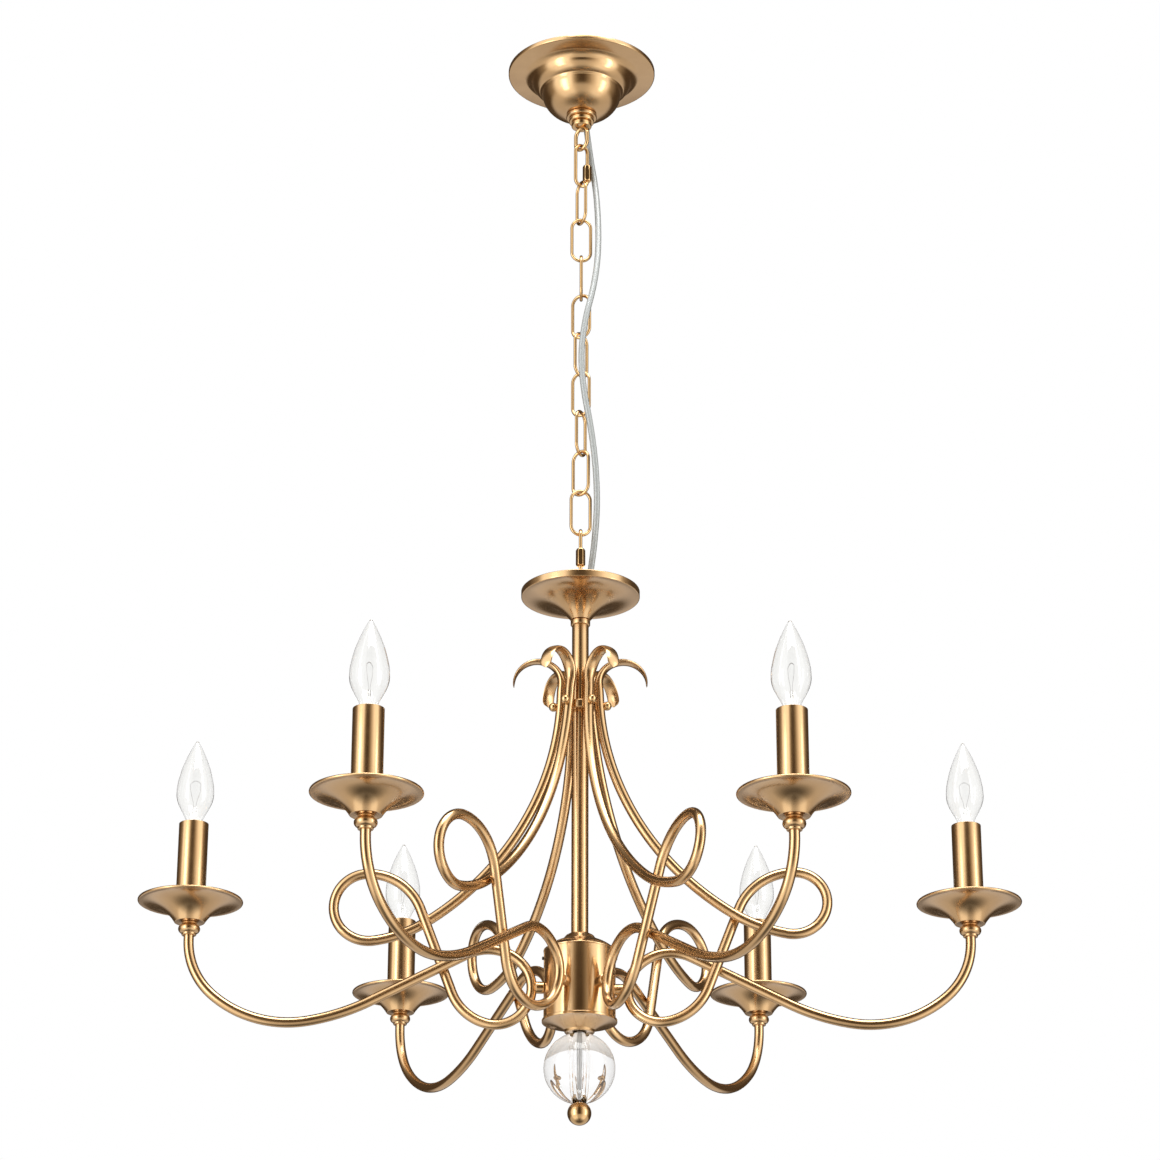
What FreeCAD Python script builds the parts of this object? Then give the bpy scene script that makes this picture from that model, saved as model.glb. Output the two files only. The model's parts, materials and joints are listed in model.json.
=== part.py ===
import FreeCAD, Part
import math
import os
from FreeCAD import Placement, Rotation, Vector

# A six-arm candle chandelier on a chain. The origin is the middle of the ceiling face, +Z is up, so
# the whole fitting hangs below zero. Sizes are millimetres and degrees.

doc = FreeCAD.newDocument("multi_arm_chandelier")
sheet = doc.addObject("Spreadsheet::Sheet", "sizes")

SIZES = {
    "lamp_count": (6, "arms, evenly spaced"),
    "lamp_circle": (362.0, "radius of the circle the candles stand on"),
    # ceiling canopy
    "canopy_radius": (74.8, "outer radius of the canopy flange"),
    "canopy_lip": (4.5, "height of the canopy flange edge"),
    "canopy_sheet": (1.2, "canopy sheet thickness"),
    "canopy_step_radius": (41.0, "radius of the step between the two bowls"),
    "canopy_step_z": (-22.0, "height of that step"),
    "canopy_foot_radius": (15.0, "radius of the flat at the bottom of the canopy"),
    "canopy_foot_z": (-50.0, "height of that flat"),
    "crossbar_length": (104.0, "ceiling crossbar"),
    "crossbar_width": (20.0, "ceiling crossbar"),
    "crossbar_sheet": (2.0, "ceiling crossbar"),
    "ceiling_screw_spacing": (80.0, "distance between the two ceiling screw holes"),
    "ceiling_hole_radius": (2.25, "ceiling screw holes"),
    "nipple_radius": (4.9, "M10 threaded nipple"),
    "nipple_bore": (3.6, "hole through the nipple"),
    "collar_radius": (15.6, "upper ring of the canopy collar"),
    "collar_height": (4.5, "upper ring of the canopy collar"),
    "locking_ring_radius": (12.8, "lower ring of the canopy collar"),
    "locking_ring_height": (4.5, "lower ring of the canopy collar"),
    "hook_neck_radius": (10.2, "neck of the canopy loop"),
    "hook_neck_z": (-64.5, "underside of that neck"),
    "hook_wire": (4.0, "wire of the canopy loop"),
    "hook_width": (20.0, "outer width of the canopy loop"),
    "hook_inner_length": (20.0, "clear height inside the canopy loop"),
    "hook_top_z": (-63.5, "top of the canopy loop's wire"),
    # chain
    "chain_count": (9, "plain chain links"),
    "chain_wire": (3.2, "wire of a plain link"),
    "chain_width": (22.0, "outer width of a plain link"),
    "chain_inner_length": (42.9, "clear length inside a plain link"),
    "chain_gap": (0.3, "free play where two links cross"),
    "screw_link_wire": (3.5, "wire of a screw link"),
    "screw_link_width": (17.0, "outer width of a screw link"),
    "screw_link_inner_length": (42.8, "clear length inside a screw link"),
    "screw_link_gap": (5.5, "opening in the leg, under the nut"),
    "link_nut_flats": (8.0, "sleeve nut across its flats"),
    "link_nut_length": (17.5, "sleeve nut"),
    "link_nut_play": (0.08, "radial play of the sleeve nut on its leg"),
    "link_nut_low": (9.0, "from the bottom of the link to the bottom of its nut"),
    "body_ring_wire": (4.5, "wire of the ring that the body hangs from"),
    "body_ring_radius": (11.75, "centreline radius of that ring"),
    # cap under the chain
    "cap_radius": (57.1, "rim of the trumpet cap"),
    "cap_rim_z": (-581.0, "underside edge of the cap's rim"),
    "cap_lip": (6.8, "height of the cap's upright band"),
    "cap_sheet": (1.2, "cap sheet thickness"),
    "cap_foot_radius": (9.6, "radius at the bottom of the trumpet"),
    "cap_foot_z": (-604.2, "height at the bottom of the trumpet"),
    "cap_foot_slope": (57.0, "slope of the trumpet where it starts"),
    "shank_foot_z": (-602.9, "bottom of the ring's shank, on the floor of the cap"),
    # stem
    "stem_radius": (8.0, "stem tubes"),
    "stem_bore": (6.8, "inside of the stem tubes"),
    "stem_collar_radius": (9.4, "ring between cap and stem"),
    "stem_collar_height": (6.0, "ring between cap and stem"),
    "crown_z": (-693.0, "height of the screws that hold the arms to the crown ring"),
    "crown_ring_height": (9.0, "crown ring"),
    "rod_radius": (2.5, "rod that ties the body together"),
    # hub
    "hub_radius": (33.2, "hub shell"),
    "hub_wall": (1.5, "hub shell"),
    "hub_top_z": (-934.0, "upper edge of the hub shell"),
    "hub_bottom_z": (-998.5, "lower edge of the hub shell"),
    "hub_dome_z": (-916.5, "top of the domed lid"),
    "hub_dome_neck": (9.2, "radius at the top of the domed lid"),
    "hub_base_radius": (34.8, "flange of the hub base"),
    "hub_base_lip": (2.4, "height of that flange's edge"),
    "hub_base_foot_radius": (13.5, "radius at the bottom of the hub base"),
    "hub_base_foot_z": (-1011.0, "height at the bottom of the hub base"),
    "hub_screw_z": (-940.0, "small screws that hold the lid"),
    "ferrule_radius": (5.6, "spacer between hub and arm"),
    # crystal ball and finial
    "crystal_radius": (32.8, "crystal ball"),
    "crystal_bore": (6.2, "hole through the crystal ball"),
    "crystal_z": (-1043.9, "middle of the crystal ball"),
    "finial_radius": (11.0, "brass ball"),
    "finial_z": (-1085.8, "middle of the brass ball"),
    # arm: a bent tube, given as a bender would, from the candle end to the leaf
    "arm_tube_radius": (4.75, "arm tube"),
    "arm_tube_bore": (3.75, "inside of the arm tube"),
    "arm_start_z": (-914.8, "candle end of the tube"),
    "arm_twist": (1.0, "turn of the bending plane at the candle end"),
    "drop_length": (8.0, "straight below the candle"),
    "sweep_1_radius": (70.0, "outer sweep"),
    "sweep_1_turn": (49.5, "outer sweep"),
    "sweep_2_radius": (108.0, "middle of the sweep"),
    "sweep_2_turn": (50.0, "middle of the sweep"),
    "sweep_3_radius": (200.0, "end of the sweep"),
    "sweep_3_turn": (17.0, "end of the sweep"),
    "run_in_length": (100.0, "straight towards the hub"),
    "hub_loop_1_radius": (43.0, "over the top of the hub loop"),
    "hub_loop_1_turn": (74.0, "over the top of the hub loop"),
    "hub_loop_twist": (10.75, "turn of the bending plane in the hub loop"),
    "hub_loop_2_radius": (33.0, "hub side of the hub loop"),
    "hub_loop_2_turn_to_hub": (42.5, "as far as the hub screw"),
    "hub_loop_2_turn": (104.0, "from the hub screw onwards"),
    "hub_loop_3_radius": (49.0, "bottom of the hub loop"),
    "hub_loop_3_turn": (55.5, "bottom of the hub loop"),
    "rise_twist": (3.25, "turn of the bending plane before the rise"),
    "rise_length": (83.0, "straight up between the two loops"),
    "top_loop_1_radius": (54.0, "inner side of the upper loop"),
    "top_loop_1_turn": (70.5, "inner side of the upper loop"),
    "top_loop_2_radius": (31.0, "outer end of the upper loop"),
    "top_loop_2_turn": (130.0, "outer end of the upper loop"),
    "top_loop_twist": (-11.5, "turn of the bending plane in the upper loop"),
    "top_loop_3_radius": (33.0, "bottom of the upper loop"),
    "top_loop_3_turn": (58.0, "bottom of the upper loop"),
    "climb_1_twist": (13.0, "turn of the bending plane before the climb"),
    "climb_1_radius": (128.0, "start of the climb to the crown"),
    "climb_1_turn": (23.5, "start of the climb to the crown"),
    "climb_2_twist": (-10.0, "turn of the bending plane in the climb"),
    "climb_2_radius": (268.0, "climb to the crown"),
    "climb_2_turn": (54.0, "climb as far as the crown screw"),
    "climb_3_turn": (1.5, "climb past the crown screw"),
    "neck_length": (14.5, "straight below the leaf"),
    "leaf_radius": (23.0, "centreline radius of the curled leaf"),
    "leaf_turn": (180.0, "how far the leaf curls over"),
    "leaf_width": (12.5, "flattened leaf"),
    "leaf_thickness": (2.6, "flattened leaf"),
    "cap_nut_radius": (4.2, "ball nut on the crown screws"),
    "crown_screw_radius": (2.0, "crown and hub screws"),
    # candle
    "pan_radius": (48.9, "drip pan rim"),
    "pan_rim_z": (-886.0, "drip pan rim"),
    "pan_foot_radius": (14.0, "bottom of the drip pan's trumpet"),
    "pan_depth": (20.5, "drip pan"),
    "pan_foot_slope": (60.0, "slope of the trumpet where it starts"),
    "pan_sheet": (1.2, "drip pan sheet"),
    "pan_bead": (1.5, "radius of the rolled rim"),
    "seat_radius": (10.2, "turned seat under the drip pan"),
    "seat_neck_radius": (7.4, "top and bottom of the seat"),
    "seat_height": (12.5, "turned seat"),
    "sleeve_radius": (13.8, "candle sleeve"),
    "sleeve_wall": (0.9, "candle sleeve"),
    "sleeve_top_z": (-810.5, "top of the candle sleeve"),
    "holder_radius": (11.8, "lamp holder"),
    "holder_bore": (7.25, "lamp holder, E14"),
    "holder_top_z": (-816.5, "top of the lamp holder"),
    "holder_bore_depth": (22.0, "lamp holder"),
    "bulb_radius": (17.5, "widest part of the bulb"),
    "bulb_tip_z": (-728.0, "tip of the bulb"),
    "bulb_shoulder_z": (-812.0, "where the glass leaves the metal base"),
    "bulb_base_radius": (7.0, "screw base, E14"),
    "bulb_base_length": (19.0, "screw base, E14"),
    # supply cord
    "cord_radius": (3.0, "clear supply cord"),
}
for row, (alias, (value, note)) in enumerate(SIZES.items(), start=1):
    sheet.set(f"A{row}", note)
    sheet.set(f"B{row}", str(value))
    sheet.setAlias(f"B{row}", alias)
doc.recompute()

UP = Vector(0, 0, 1)
nodes = {}


def mm(alias):
    """A size from the sheet as a plain number."""
    return float(sheet.get(alias))


def bound(text):
    """An expression over the sheet's aliases: every alias word becomes sizes.alias."""
    words = []
    for word in text.split():
        bare = word.strip("()")
        words.append(word.replace(bare, "sizes." + bare) if bare in SIZES else word)
    return " ".join(words)


def keep(name, shape_object):
    """Names a finished sub-part: its Label is its node."""
    shape_object.Label = name
    nodes[name] = shape_object
    return shape_object


def placed(item, z="0", x="0", y="0"):
    for axis, text in (("x", x), ("y", y), ("z", z)):
        if text != "0":
            item.setExpression(f"Placement.Base.{axis}", bound(text))
    return item


def cylinder(name, radius, height, z="0", x="0"):
    item = doc.addObject("Part::Cylinder", name)
    item.setExpression("Radius", bound(radius))
    item.setExpression("Height", bound(height))
    return placed(item, z, x)


def lying_cylinder(name, radius, length, z, x, azimuth=0.0):
    """A cylinder along the outward direction at an azimuth, starting at radius x."""
    item = doc.addObject("Part::Cylinder", name)
    item.setExpression("Radius", bound(radius))
    item.setExpression("Height", bound(length))
    turn = Rotation(UP, azimuth)
    out = turn.multVec(Vector(x, 0, 0))
    item.Placement = Placement(Vector(out.x, out.y, z), turn * Rotation(Vector(0, 1, 0), 90))
    return item


def ball(name, radius, z="0"):
    item = doc.addObject("Part::Sphere", name)
    item.setExpression("Radius", bound(radius))
    return placed(item, z)


def cut(name, base, tool):
    item = doc.addObject("Part::Cut", name)
    item.Base = base
    item.Tool = tool
    return item


def fuse(name, shapes):
    item = doc.addObject("Part::MultiFuse", name)
    item.Shapes = shapes
    return item


def tube(name, outer, inner, bottom, top):
    body = cylinder(name + "_outside", outer, f"( {top} ) - ( {bottom} )", bottom)
    bore = cylinder(name + "_bore", inner, f"( {top} ) - ( {bottom} ) + 2", f"( {bottom} ) - 1")
    return cut(name + "_cut", body, bore)


def group(name, members):
    """Several separate solids in one node."""
    item = doc.addObject("Part::Compound", name + "_group")
    item.Links = members
    return keep(name, item)


def feature(name, shape, placement=None):
    """A sub-part whose shape neither a primitive nor a boolean of primitives gives."""
    item = doc.addObject("Part::Feature", name + "_feature")
    item.Shape = shape
    if placement is not None:
        item.Placement = placement
    return item


def lathe(outline):
    """Turns a closed outline of (radius, height) points about Z.
    A step of two points is an arc: through the first, to the second."""
    edges = []
    here = outline[0]
    for step in outline[1:]:
        a = Vector(here[0], 0, here[1])
        if len(step) == 2 and isinstance(step[0], tuple):
            through, here = step
            b = Vector(through[0], 0, through[1])
            edges.append(Part.Arc(a, b, Vector(here[0], 0, here[1])).toShape())
        else:
            here = step
            edges.append(Part.LineSegment(a, Vector(here[0], 0, here[1])).toShape())
    if here != outline[0]:
        a = Vector(here[0], 0, here[1])
        edges.append(Part.LineSegment(a, Vector(outline[0][0], 0, outline[0][1])).toShape())
    return Part.Face(Part.Wire(edges)).revolve(Vector(0, 0, 0), UP, 360)


def flare(foot, rim, slope):
    """The arc from foot to rim that starts at a slope: its centre, its radius and a point halfway."""
    a, b = Vector(foot[0], 0, foot[1]), Vector(rim[0], 0, rim[1])
    chord = b - a
    half = math.radians(slope) - math.atan2(chord.z, chord.x)
    radius = chord.Length / (2 * math.sin(half))
    angle = math.radians(slope)
    centre = a + Vector(math.sin(angle), 0, -math.cos(angle)) * radius
    middle = centre + ((a + b) * 0.5 - centre).normalize() * radius
    return centre, radius, middle


def trumpet(foot, rim, slope, thickness, bead):
    """A spun trumpet of even sheet: a lower skin on the arc, an upper skin one sheet above it."""
    centre, radius, middle = flare(foot, rim, slope)

    def raised(point):
        return centre + (point - centre).normalize() * (radius + thickness)

    low = [Vector(foot[0], 0, foot[1]), middle, Vector(rim[0], 0, rim[1])]
    high = [raised(p) for p in low]
    outline = [(0.0, low[0].z), (low[0].x, low[0].z)]
    outline.append(((low[1].x, low[1].z), (low[2].x, low[2].z)))
    outline.append((high[2].x, high[2].z))
    outline.append(((high[1].x, high[1].z), (high[0].x, high[0].z)))
    floor = low[0].z + thickness
    outline.append((high[0].x, max(high[0].z, floor)))
    outline.append((0.0, max(high[0].z, floor)))
    skin = lathe(outline)
    roll = Part.makeTorus(rim[0] - bead * 0.2, bead, Vector(0, 0, rim[1] + thickness / 2), UP)
    return skin.fuse(roll)


def azimuths():
    return [360.0 / mm("lamp_count") * i for i in range(int(mm("lamp_count")))]


# ---------------------------------------------------------------- links and rings

def link(name, inner_length, width, wire, z_inner_bottom, turn):
    """A stadium of round wire, upright, with the inside of its lower bend at a given height."""
    bend = f"( {width} - {wire} ) / 2"
    straight = f"( {inner_length} + {wire} - ( {width} - {wire} ) )"
    parts = []
    for end, low in (("low", True), ("high", False)):
        arc = doc.addObject("Part::Torus", f"{name}_{end}")
        arc.setExpression("Radius1", bound(bend))
        arc.setExpression("Radius2", bound(f"{wire} / 2"))
        arc.Angle3 = 180
        tip = 90 if not low else -90
        arc.Placement = Placement(Vector(0, 0, 0), Rotation(Vector(1, 0, 0), tip))
        placed(arc, "0" if low else straight)
        parts.append(arc)
    for side, sign in (("left", "-1"), ("right", "1")):
        leg = cylinder(f"{name}_{side}", f"{wire} / 2", straight, "0", f"{sign} * {bend}")
        parts.append(leg)
    whole = fuse(name + "_wire", parts)
    whole.Placement = Placement(Vector(0, 0, 0), Rotation(UP, turn))
    # the origin of the link is the middle of its lower bend
    placed(whole, f"( {z_inner_bottom} ) + {bend} - {wire} / 2")
    return whole


def hex_sleeve(name, z_bottom, x, turn):
    nut = doc.addObject("Part::Prism", name + "_hexagon")
    nut.Polygon = 6
    nut.setExpression("Circumradius", bound("link_nut_flats / 2 / cos(30deg)"))
    nut.setExpression("Height", bound("link_nut_length"))
    bore = cylinder(name + "_bore", "screw_link_wire / 2 + link_nut_play", "link_nut_length + 2", "-1")
    sleeve = cut(name + "_cut", nut, bore)
    out = Rotation(UP, turn).multVec(Vector(x, 0, 0))
    sleeve.Placement = Placement(Vector(out.x, out.y, z_bottom), Rotation(UP, turn))
    return sleeve


def screw_link(name, nut_name, z_inner_bottom, turn):
    """A link with an opening in one leg, closed by a hexagonal sleeve nut."""
    whole = link(
        name, "screw_link_inner_length", "screw_link_width", "screw_link_wire", z_inner_bottom, turn
    )
    leg = (mm("screw_link_width") - mm("screw_link_wire")) / 2
    low = z_inner_bottom - mm("screw_link_wire") + mm("link_nut_low")
    opening = doc.addObject("Part::Box", name + "_opening")
    reach = 3.0 * mm("screw_link_wire")
    opening.Length = reach
    opening.Width = reach
    opening.setExpression("Height", bound("screw_link_gap"))
    middle = Vector(leg - reach / 2, -reach / 2, 0)
    spot = Rotation(UP, turn).multVec(middle)
    opening.Placement = Placement(Vector(spot.x, spot.y, low + 1.5), Rotation(UP, turn))
    keep(name, cut(name + "_open", whole, opening))
    keep(nut_name, hex_sleeve(nut_name, low, leg, turn))


# Each link's plane, as an angle from the X axis. Neighbours stand roughly square to each other.
HOOK_TURN = -45.0
UPPER_SCREW_LINK_TURN = 30.0
LINK_TURNS = (-63.0, 5.0, 90.0, -27.0, 52.0, -30.0, 63.0, -38.0, 10.0)
LOWER_SCREW_LINK_TURN = -90.0

hook_inner_bottom = mm("hook_top_z") - mm("hook_wire") - mm("hook_inner_length")
gap = mm("chain_gap")

# Each link hangs with the inside of its upper bend just clear of the wire above.
z = hook_inner_bottom + gap
z_upper = z - mm("screw_link_inner_length")
screw_link("upper_screw_link", "upper_link_nut", z_upper, UPPER_SCREW_LINK_TURN)
z = z_upper
link_bottoms = []
for number, turn in enumerate(LINK_TURNS, start=1):
    z = z + gap - mm("chain_inner_length")
    name = f"chain_link_{number}"
    wire = link(name, "chain_inner_length", "chain_width", "chain_wire", round(z, 4), turn)
    keep(name, wire)
    link_bottoms.append(z)
z_lower = z + gap - mm("screw_link_inner_length")
screw_link("lower_screw_link", "lower_link_nut", round(z_lower, 4), LOWER_SCREW_LINK_TURN)

# ---------------------------------------------------------------- ceiling group

bar = doc.addObject("Part::Box", "bar")
for side, text in (
    ("Length", "crossbar_length"),
    ("Width", "crossbar_width"),
    ("Height", "crossbar_sheet"),
):
    bar.setExpression(side, bound(text))
placed(bar, "0 - crossbar_sheet", "0 - crossbar_length / 2", "0 - crossbar_width / 2")
bar_holes = [cylinder("bar_middle", "nipple_radius + 0.15", "crossbar_sheet + 2", "0 - crossbar_sheet - 1")]
for side, sign in (("left", "-1"), ("right", "1")):
    hole = cylinder(
        f"bar_{side}", "ceiling_hole_radius", "crossbar_sheet + 2", "0 - crossbar_sheet - 1",
        f"{sign} * ceiling_screw_spacing / 2",
    )
    bar_holes.append(hole)
keep("ceiling_crossbar", cut("bar_drilled", bar, fuse("bar_hole_set", bar_holes)))

# The canopy is one spun shell: flange, upper bowl, a small step, lower bowl, flat foot.
rim, lip, wall = mm("canopy_radius"), mm("canopy_lip"), mm("canopy_sheet")
step_r, step_z = mm("canopy_step_radius"), mm("canopy_step_z")
foot_r, foot_z = mm("canopy_foot_radius"), mm("canopy_foot_z")
canopy_outline = [
    (rim - wall, 0.0),
    (rim, 0.0),
    (rim, -lip + 1.0),
    ((rim - 0.3, -lip + 0.3), (rim - 1.0, -lip)),
    (rim - 16.0, -lip - 1.2),
    ((rim - 20.5, -lip - 3.0), (rim - 24.0, -lip - 7.0)),
    ((step_r + 6.5, step_z + 4.0), (step_r + 1.0, step_z)),
    (step_r, step_z - 1.6),
    ((step_r - 6.5, step_z - 18.0), (foot_r + 3.0, foot_z)),
    (mm("nipple_radius") + 0.15, foot_z),
    (mm("nipple_radius") + 0.15, foot_z + wall),
    (foot_r + 2.4, foot_z + wall),
    ((step_r - 7.7, step_z - 17.0), (step_r - wall - 0.2, step_z - 0.8)),
    ((step_r + 5.2, step_z + 5.0), (rim - 25.0, -lip - 6.0)),
    ((rim - 21.2, -lip - 1.9), (rim - 16.2, -lip)),
    (rim - wall, -lip + wall),
]
canopy = feature("canopy", lathe(canopy_outline))
keep("canopy", canopy)

collar_top = "canopy_foot_z"
collar_low = "canopy_foot_z - collar_height"
ring_low = "canopy_foot_z - collar_height - locking_ring_height"
collar = tube("collar", "collar_radius", "nipple_radius + 0.1", collar_low, collar_top)
keep("canopy_collar", collar)
locking = tube("locking_ring", "locking_ring_radius", "nipple_radius + 0.1", ring_low, collar_low)
keep("canopy_locking_ring", locking)
nipple = tube("nipple", "nipple_radius", "nipple_bore", ring_low, "0 - 0.5")
keep("canopy_nipple", nipple)
inside_nut = doc.addObject("Part::Prism", "inside_nut")
inside_nut.Polygon = 6
inside_nut.Circumradius = 9.2
inside_nut.Height = 3.0
placed(inside_nut, "canopy_foot_z + canopy_sheet")
inside_hole = cylinder("inside_hole", "nipple_radius + 0.1", "5", "canopy_foot_z + canopy_sheet - 1")
bar_nut = doc.addObject("Part::Prism", "bar_nut")
bar_nut.Polygon = 6
bar_nut.Circumradius = 9.2
bar_nut.Height = 3.0
placed(bar_nut, "0 - crossbar_sheet - 3")
bar_nut_hole = cylinder("bar_nut_hole", "nipple_radius + 0.1", "5", "0 - crossbar_sheet - 4")
group(
    "nipple_nuts",
    [cut("inside_nut_cut", inside_nut, inside_hole), cut("bar_nut_cut", bar_nut, bar_nut_hole)],
)
terminal = doc.addObject("Part::Box", "terminal")
terminal.Length, terminal.Width, terminal.Height = 22, 12, 10
terminal.Placement = Placement(Vector(-30, -24, -16), Rotation())
keep("terminal_block", terminal)

hook_turn = Rotation(UP, HOOK_TURN)
hook_wire = link("hook", "hook_inner_length", "hook_width", "hook_wire", hook_inner_bottom, HOOK_TURN)
neck = cylinder("hook_neck", "hook_neck_radius", f"( {ring_low} ) - hook_neck_z", "hook_neck_z")
keep("canopy_loop", fuse("hook_whole", [hook_wire, neck]))

# ---------------------------------------------------------------- cap, stem and crown

ring = doc.addObject("Part::Torus", "ring")
ring.setExpression("Radius1", bound("body_ring_radius"))
ring.setExpression("Radius2", bound("body_ring_wire / 2"))
ring.Placement = Placement(Vector(0, 0, 0), Rotation(Vector(1, 0, 0), 90))
ring_z = z_lower + gap - mm("body_ring_radius") + mm("body_ring_wire") / 2
placed(ring, f"{ring_z:.4f}")
ring_low_z = f"{ring_z - mm('body_ring_radius'):.4f}"
shank = cylinder("shank", "5", f"{ring_low_z} - shank_foot_z", "shank_foot_z")
keep("body_loop", fuse("ring_and_shank", [ring, shank]))

cap_foot = (mm("cap_foot_radius"), mm("cap_foot_z"))
cap_rim = (mm("cap_radius") - 0.9, mm("cap_rim_z"))
cap_shell = trumpet(cap_foot, cap_rim, mm("cap_foot_slope"), mm("cap_sheet"), 0.9)
cap_hole = Part.makeCylinder(5.05, 10, Vector(0, 0, mm("cap_foot_z") - 4))
# The rim is turned up into a narrow upright band with a rounded edge.
band_r, band_low, band_top = mm("cap_radius"), mm("cap_rim_z") + 0.2, mm("cap_rim_z") + mm("cap_lip")
band = lathe([
    (band_r - 1.6, band_low),
    (band_r - 0.5, band_low),
    (band_r, band_low + 1.2),
    (band_r, band_top - 0.6),
    ((band_r - 0.6, band_top), (band_r - 1.2, band_top - 0.6)),
    (band_r - 1.6, band_low + 1.6),
])
cap_shell = cap_shell.fuse(band)
keep("top_cap", feature("top_cap", cap_shell.cut(cap_hole)))

collar_2_low = "cap_foot_z - stem_collar_height"
stem_collar = tube("stem_collar", "stem_collar_radius", "5.05", collar_2_low, "cap_foot_z")
keep("stem_collar", stem_collar)
crown_top = "crown_z + crown_ring_height / 2"
crown_low = "crown_z - crown_ring_height / 2"
keep("upper_stem", tube("upper_stem", "stem_radius", "stem_bore", "crown_z", collar_2_low))
keep("lower_stem", tube("lower_stem", "stem_radius", "stem_bore", "hub_dome_z - 1.4", "crown_z"))

# ---------------------------------------------------------------- the bent arm

def bend_arm():
    """Walks the bending schedule and returns the tube's centreline edges and the places of the
    hub screw, the crown screw and the start of the leaf, with headings and bending planes."""
    state = {
        "point": Vector(mm("lamp_circle"), 0, mm("arm_start_z")),
        "heading": Vector(0, 0, -1),
        "plane": Vector(0, 1, 0),
    }
    edges = []

    def twist(alias):
        state["plane"] = Rotation(state["heading"], mm(alias)).multVec(state["plane"])

    def straight(alias):
        end = state["point"] + state["heading"] * mm(alias)
        edges.append(Part.LineSegment(state["point"], end).toShape())
        state["point"] = end

    def bend(radius_alias, turn_alias, hand):
        radius, turn = mm(radius_alias), mm(turn_alias) * hand
        centre = state["point"] + state["plane"].cross(state["heading"]) * radius * hand
        arm = state["point"] - centre
        half = Rotation(state["plane"], turn / 2).multVec(arm)
        full = Rotation(state["plane"], turn).multVec(arm)
        edges.append(Part.Arc(state["point"], centre + half, centre + full).toShape())
        state["point"] = centre + full
        state["heading"] = Rotation(state["plane"], turn).multVec(state["heading"])

    inwards, back = 1, -1
    twist("arm_twist")
    straight("drop_length")
    bend("sweep_1_radius", "sweep_1_turn", inwards)
    bend("sweep_2_radius", "sweep_2_turn", inwards)
    bend("sweep_3_radius", "sweep_3_turn", inwards)
    straight("run_in_length")
    bend("hub_loop_1_radius", "hub_loop_1_turn", back)
    twist("hub_loop_twist")
    bend("hub_loop_2_radius", "hub_loop_2_turn_to_hub", back)
    hub_screw = dict(state)
    bend("hub_loop_2_radius", "hub_loop_2_turn", back)
    bend("hub_loop_3_radius", "hub_loop_3_turn", back)
    twist("rise_twist")
    straight("rise_length")
    bend("top_loop_1_radius", "top_loop_1_turn", inwards)
    bend("top_loop_2_radius", "top_loop_2_turn", inwards)
    twist("top_loop_twist")
    bend("top_loop_3_radius", "top_loop_3_turn", inwards)
    twist("climb_1_twist")
    bend("climb_1_radius", "climb_1_turn", inwards)
    twist("climb_2_twist")
    bend("climb_2_radius", "climb_2_turn", inwards)
    crown_screw = dict(state)
    bend("climb_2_radius", "climb_3_turn", inwards)
    straight("neck_length")
    return edges, hub_screw, crown_screw, dict(state)


def swept(edges, radius):
    """A round bar along a path."""
    path = Part.Wire(edges)
    first = edges[0]
    start = first.valueAt(first.FirstParameter)
    along = first.tangentAt(first.FirstParameter)
    section = Part.Wire(Part.Circle(start, along, radius).toShape())
    return path.makePipeShell([section], True, False)


def curled_leaf(root):
    """The flattened end: a flat strip carried round an arc that continues the tube's bend."""
    radius = mm("leaf_radius")
    out = root["plane"].cross(root["heading"])
    centre = root["point"] + out * radius
    half_w, half_t = mm("leaf_width") / 2, mm("leaf_thickness") / 2
    corners = []
    for across, deep in ((-1, -1), (1, -1), (1, 1), (-1, 1)):
        corners.append(root["point"] + root["plane"] * half_w * across + out * half_t * deep)
    section = Part.Face(Part.makePolygon(corners + [corners[0]]))
    return section.revolve(centre, root["plane"], mm("leaf_turn"))


edges, hub_screw, crown_screw, leaf_root = bend_arm()
path_length = sum(edge.Length for edge in edges)
bar_volume = math.pi * mm("arm_tube_radius") ** 2 * path_length
outside = swept(edges, mm("arm_tube_radius"))
print("arm: path", round(path_length, 1), "mm, swept / expected volume",
      round(outside.Volume / bar_volume, 4))
inside = swept(edges, mm("arm_tube_bore"))
leaf = curled_leaf(leaf_root)
neck_plug = Part.makeSphere(mm("arm_tube_radius") - 0.05, leaf_root["point"])
arm = outside.cut(inside).fuse([leaf, neck_plug])

for number, azimuth in enumerate(azimuths(), start=1):
    name = f"arm_{number}"
    keep(name, feature(name, arm, Placement(Vector(), Rotation(UP, azimuth))))

# ---------------------------------------------------------------- crown ring and its screws

crown_face = crown_screw["point"].x - mm("arm_tube_radius")
print("crown: tube axis at", round(crown_screw["point"].x, 2), "height", round(crown_screw["point"].z, 2),
      "leaf root", [round(c, 2) for c in leaf_root["point"]])
ring_outer = round(crown_face - 0.1, 2)
keep("crown_ring", tube("crown_ring", str(ring_outer), "stem_radius + 0.02", crown_low, crown_top))

nuts = []
for number, azimuth in enumerate(azimuths(), start=1):
    out = crown_screw["point"].x + mm("arm_tube_radius") + mm("cap_nut_radius") * 0.55
    turn = Rotation(UP, azimuth)
    spot = turn.multVec(Vector(out, crown_screw["point"].y, 0))
    nut = doc.addObject("Part::Sphere", f"ball_nut_{number}")
    nut.setExpression("Radius", bound("cap_nut_radius"))
    nut.Placement = Placement(Vector(spot.x, spot.y, crown_screw["point"].z), Rotation())
    nuts.append(nut)
group("crown_cap_nuts", nuts)

# ---------------------------------------------------------------- hub

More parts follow.
